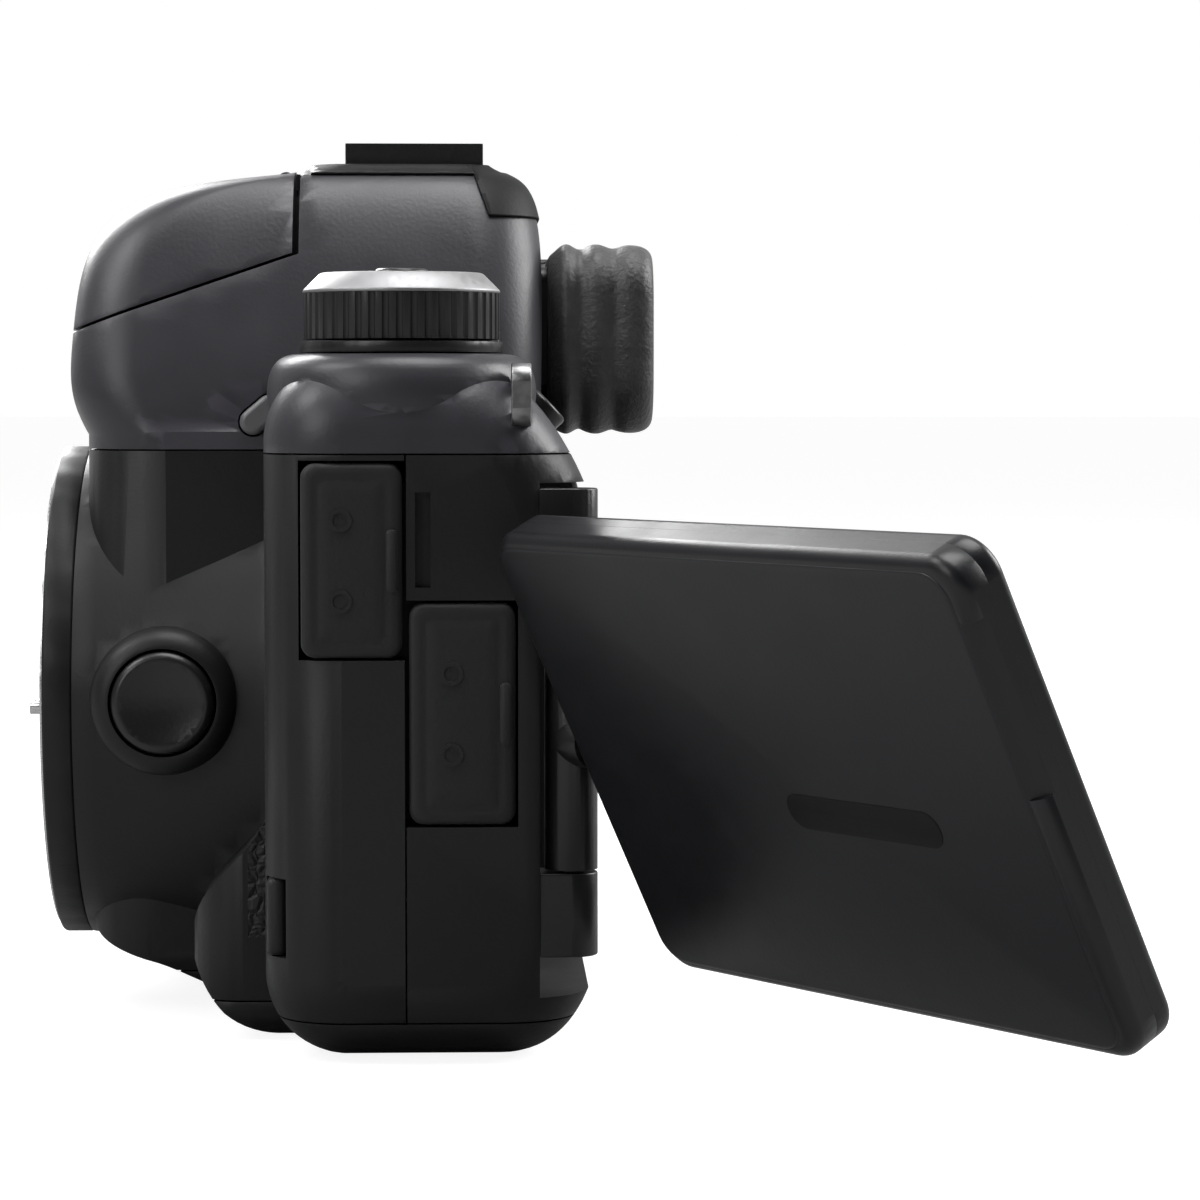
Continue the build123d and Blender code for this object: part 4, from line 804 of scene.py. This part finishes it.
# ---- front lamp ----
def front_lamp():
    """The self-timer and focus-assist lamp in its bezel, above the side rubber."""
    front = place(Vector((-36.5, -9.5, 65.0)) * MM, -Y, X)
    sunk = -0.6 * MM
    bezel = [
        (2.9 * MM, sunk), (2.9 * MM, 0.2 * MM), (2.6 * MM, 0.42 * MM), (2.1 * MM, 0.3 * MM), (2.1 * MM, sunk)
    ]
    lathe("front_lamp_bezel", front, bezel, finishes["control_plastic"], "casing", "control_plastic",
          closed=True)
    lens = [(2.08 * MM, -0.5 * MM), (2.08 * MM, 0.05 * MM), (1.5 * MM, 0.25 * MM), (0.6 * MM, 0.33 * MM)]
    lathe("front_lamp_lens", front, lens, lamp_red, "casing", "screen_glass")


# ---- the studio ----
def floor():
    """Pale paper just under the base. It glows to the lens alone, so that it runs into the white surround."""
    reach, level, glow = 12.0, -0.1 * MM, 0.88
    corners = [(-reach, -reach, level), (reach, -reach, level), (reach, reach, level), (-reach, reach, level)]
    mesh = bpy.data.meshes.new("floor")
    mesh.from_pydata(corners, [], [(0, 1, 2, 3)])
    paper, tree, shader = material_base("floor_paper", (0.3, 0.3, 0.3), 0.9)
    path = tree.nodes.new("ShaderNodeLightPath")
    shader.inputs["Emission Color"].default_value = (1, 1, 1, 1)
    to_lens = map_node(tree, path.outputs["Is Camera Ray"], 0, 1, 0.0, glow)
    tree.links.new(to_lens, shader.inputs["Emission Strength"])
    mesh.materials.append(paper)
    sheet = bpy.data.objects.new("floor", mesh)
    bpy.context.scene.collection.objects.link(sheet)


def surround():
    """White to the lens. To the object it is bright on its far side, -X, and dim on the lens's side."""
    far_side, near_side, bright, dim = -0.75, 0.2, 0.55, 0.03
    world = bpy.data.worlds.new("studio")
    bpy.context.scene.world = world
    world.use_nodes = True
    tree = world.node_tree
    background = tree.nodes["Background"]
    background.inputs["Color"].default_value = (1, 1, 1, 1)
    direction = tree.nodes.new("ShaderNodeTexCoord")
    split = tree.nodes.new("ShaderNodeSeparateXYZ")
    tree.links.new(direction.outputs["Generated"], split.inputs["Vector"])
    lit = map_node(tree, split.outputs["X"], far_side, near_side, bright, dim)
    path = tree.nodes.new("ShaderNodeLightPath")
    mix = tree.nodes.new("ShaderNodeMix")
    tree.links.new(path.outputs["Is Camera Ray"], mix.inputs["Factor"])
    tree.links.new(lit, mix.inputs["A"])
    mix.inputs["B"].default_value = 1.0
    tree.links.new(mix.outputs["Result"], background.inputs["Strength"])


def lights():
    """Soft boxes: in front and above, overhead, behind, on the far side, and a weak one beside the lens."""
    aim = Vector((0.02, 0.0, 0.055))
    # Place from the aim and size in metres, power in watts.
    for name, offset, size, power in (
        ("front_box", (0.12, -0.62, 0.72), 0.4, 3.6),
        ("top_box", (0.05, 0.12, 0.95), 0.6, 8.0),
        ("back_box", (-0.25, 0.85, 0.5), 0.5, 8.0),
        ("far_box", (-0.82, -0.38, 0.46), 0.4, 11.0),
        ("side_box", (0.75, -0.7, 0.45), 0.5, 3.0),
    ):
        data = bpy.data.lights.new(name, "AREA")
        data.shape = "SQUARE"
        data.size = size
        data.energy = power
        lamp = bpy.data.objects.new(name, data)
        lamp.location = aim + Vector(offset)
        lamp.visible_camera = False
        lamp.rotation_mode = "QUATERNION"
        lamp.rotation_quaternion = (-Vector(offset)).to_track_quat("-Z", "Y")
        bpy.context.scene.collection.objects.link(lamp)


def camera():
    """A long lens that looks at the object's own left side from a little above the horizon."""
    azimuth = math.radians(87.98)
    elevation = math.radians(3.13)
    distance = 0.4241
    target = Vector((0.055, 0.02842, 0.05167))
    back = Vector(
        (
            math.sin(azimuth) * math.cos(elevation),
            -math.cos(azimuth) * math.cos(elevation),
            math.sin(elevation),
        )
    )
    data = bpy.data.cameras.new("camera")
    data.sensor_width = 36
    data.lens = 112.8
    data.clip_start = 0.01
    view = bpy.data.objects.new("camera", data)
    view.location = target + back * distance
    view.rotation_mode = "QUATERNION"
    view.rotation_quaternion = (-back).to_track_quat("-Z", "Y")
    bpy.context.scene.collection.objects.link(view)
    bpy.context.scene.camera = view


finish_cad_nodes()
lens_mount()
eyecup()
hot_shoe()
hump_shade_sheets()
terminal_covers()
remote_plug()
tripod_thread()
top_display()
screen_recess()
front_lamp()
mode_dial()
rear_dial()
button_marks()
screen()
floor()
surround()
lights()
camera()
bpy.context.scene.view_settings.view_transform = "Standard"
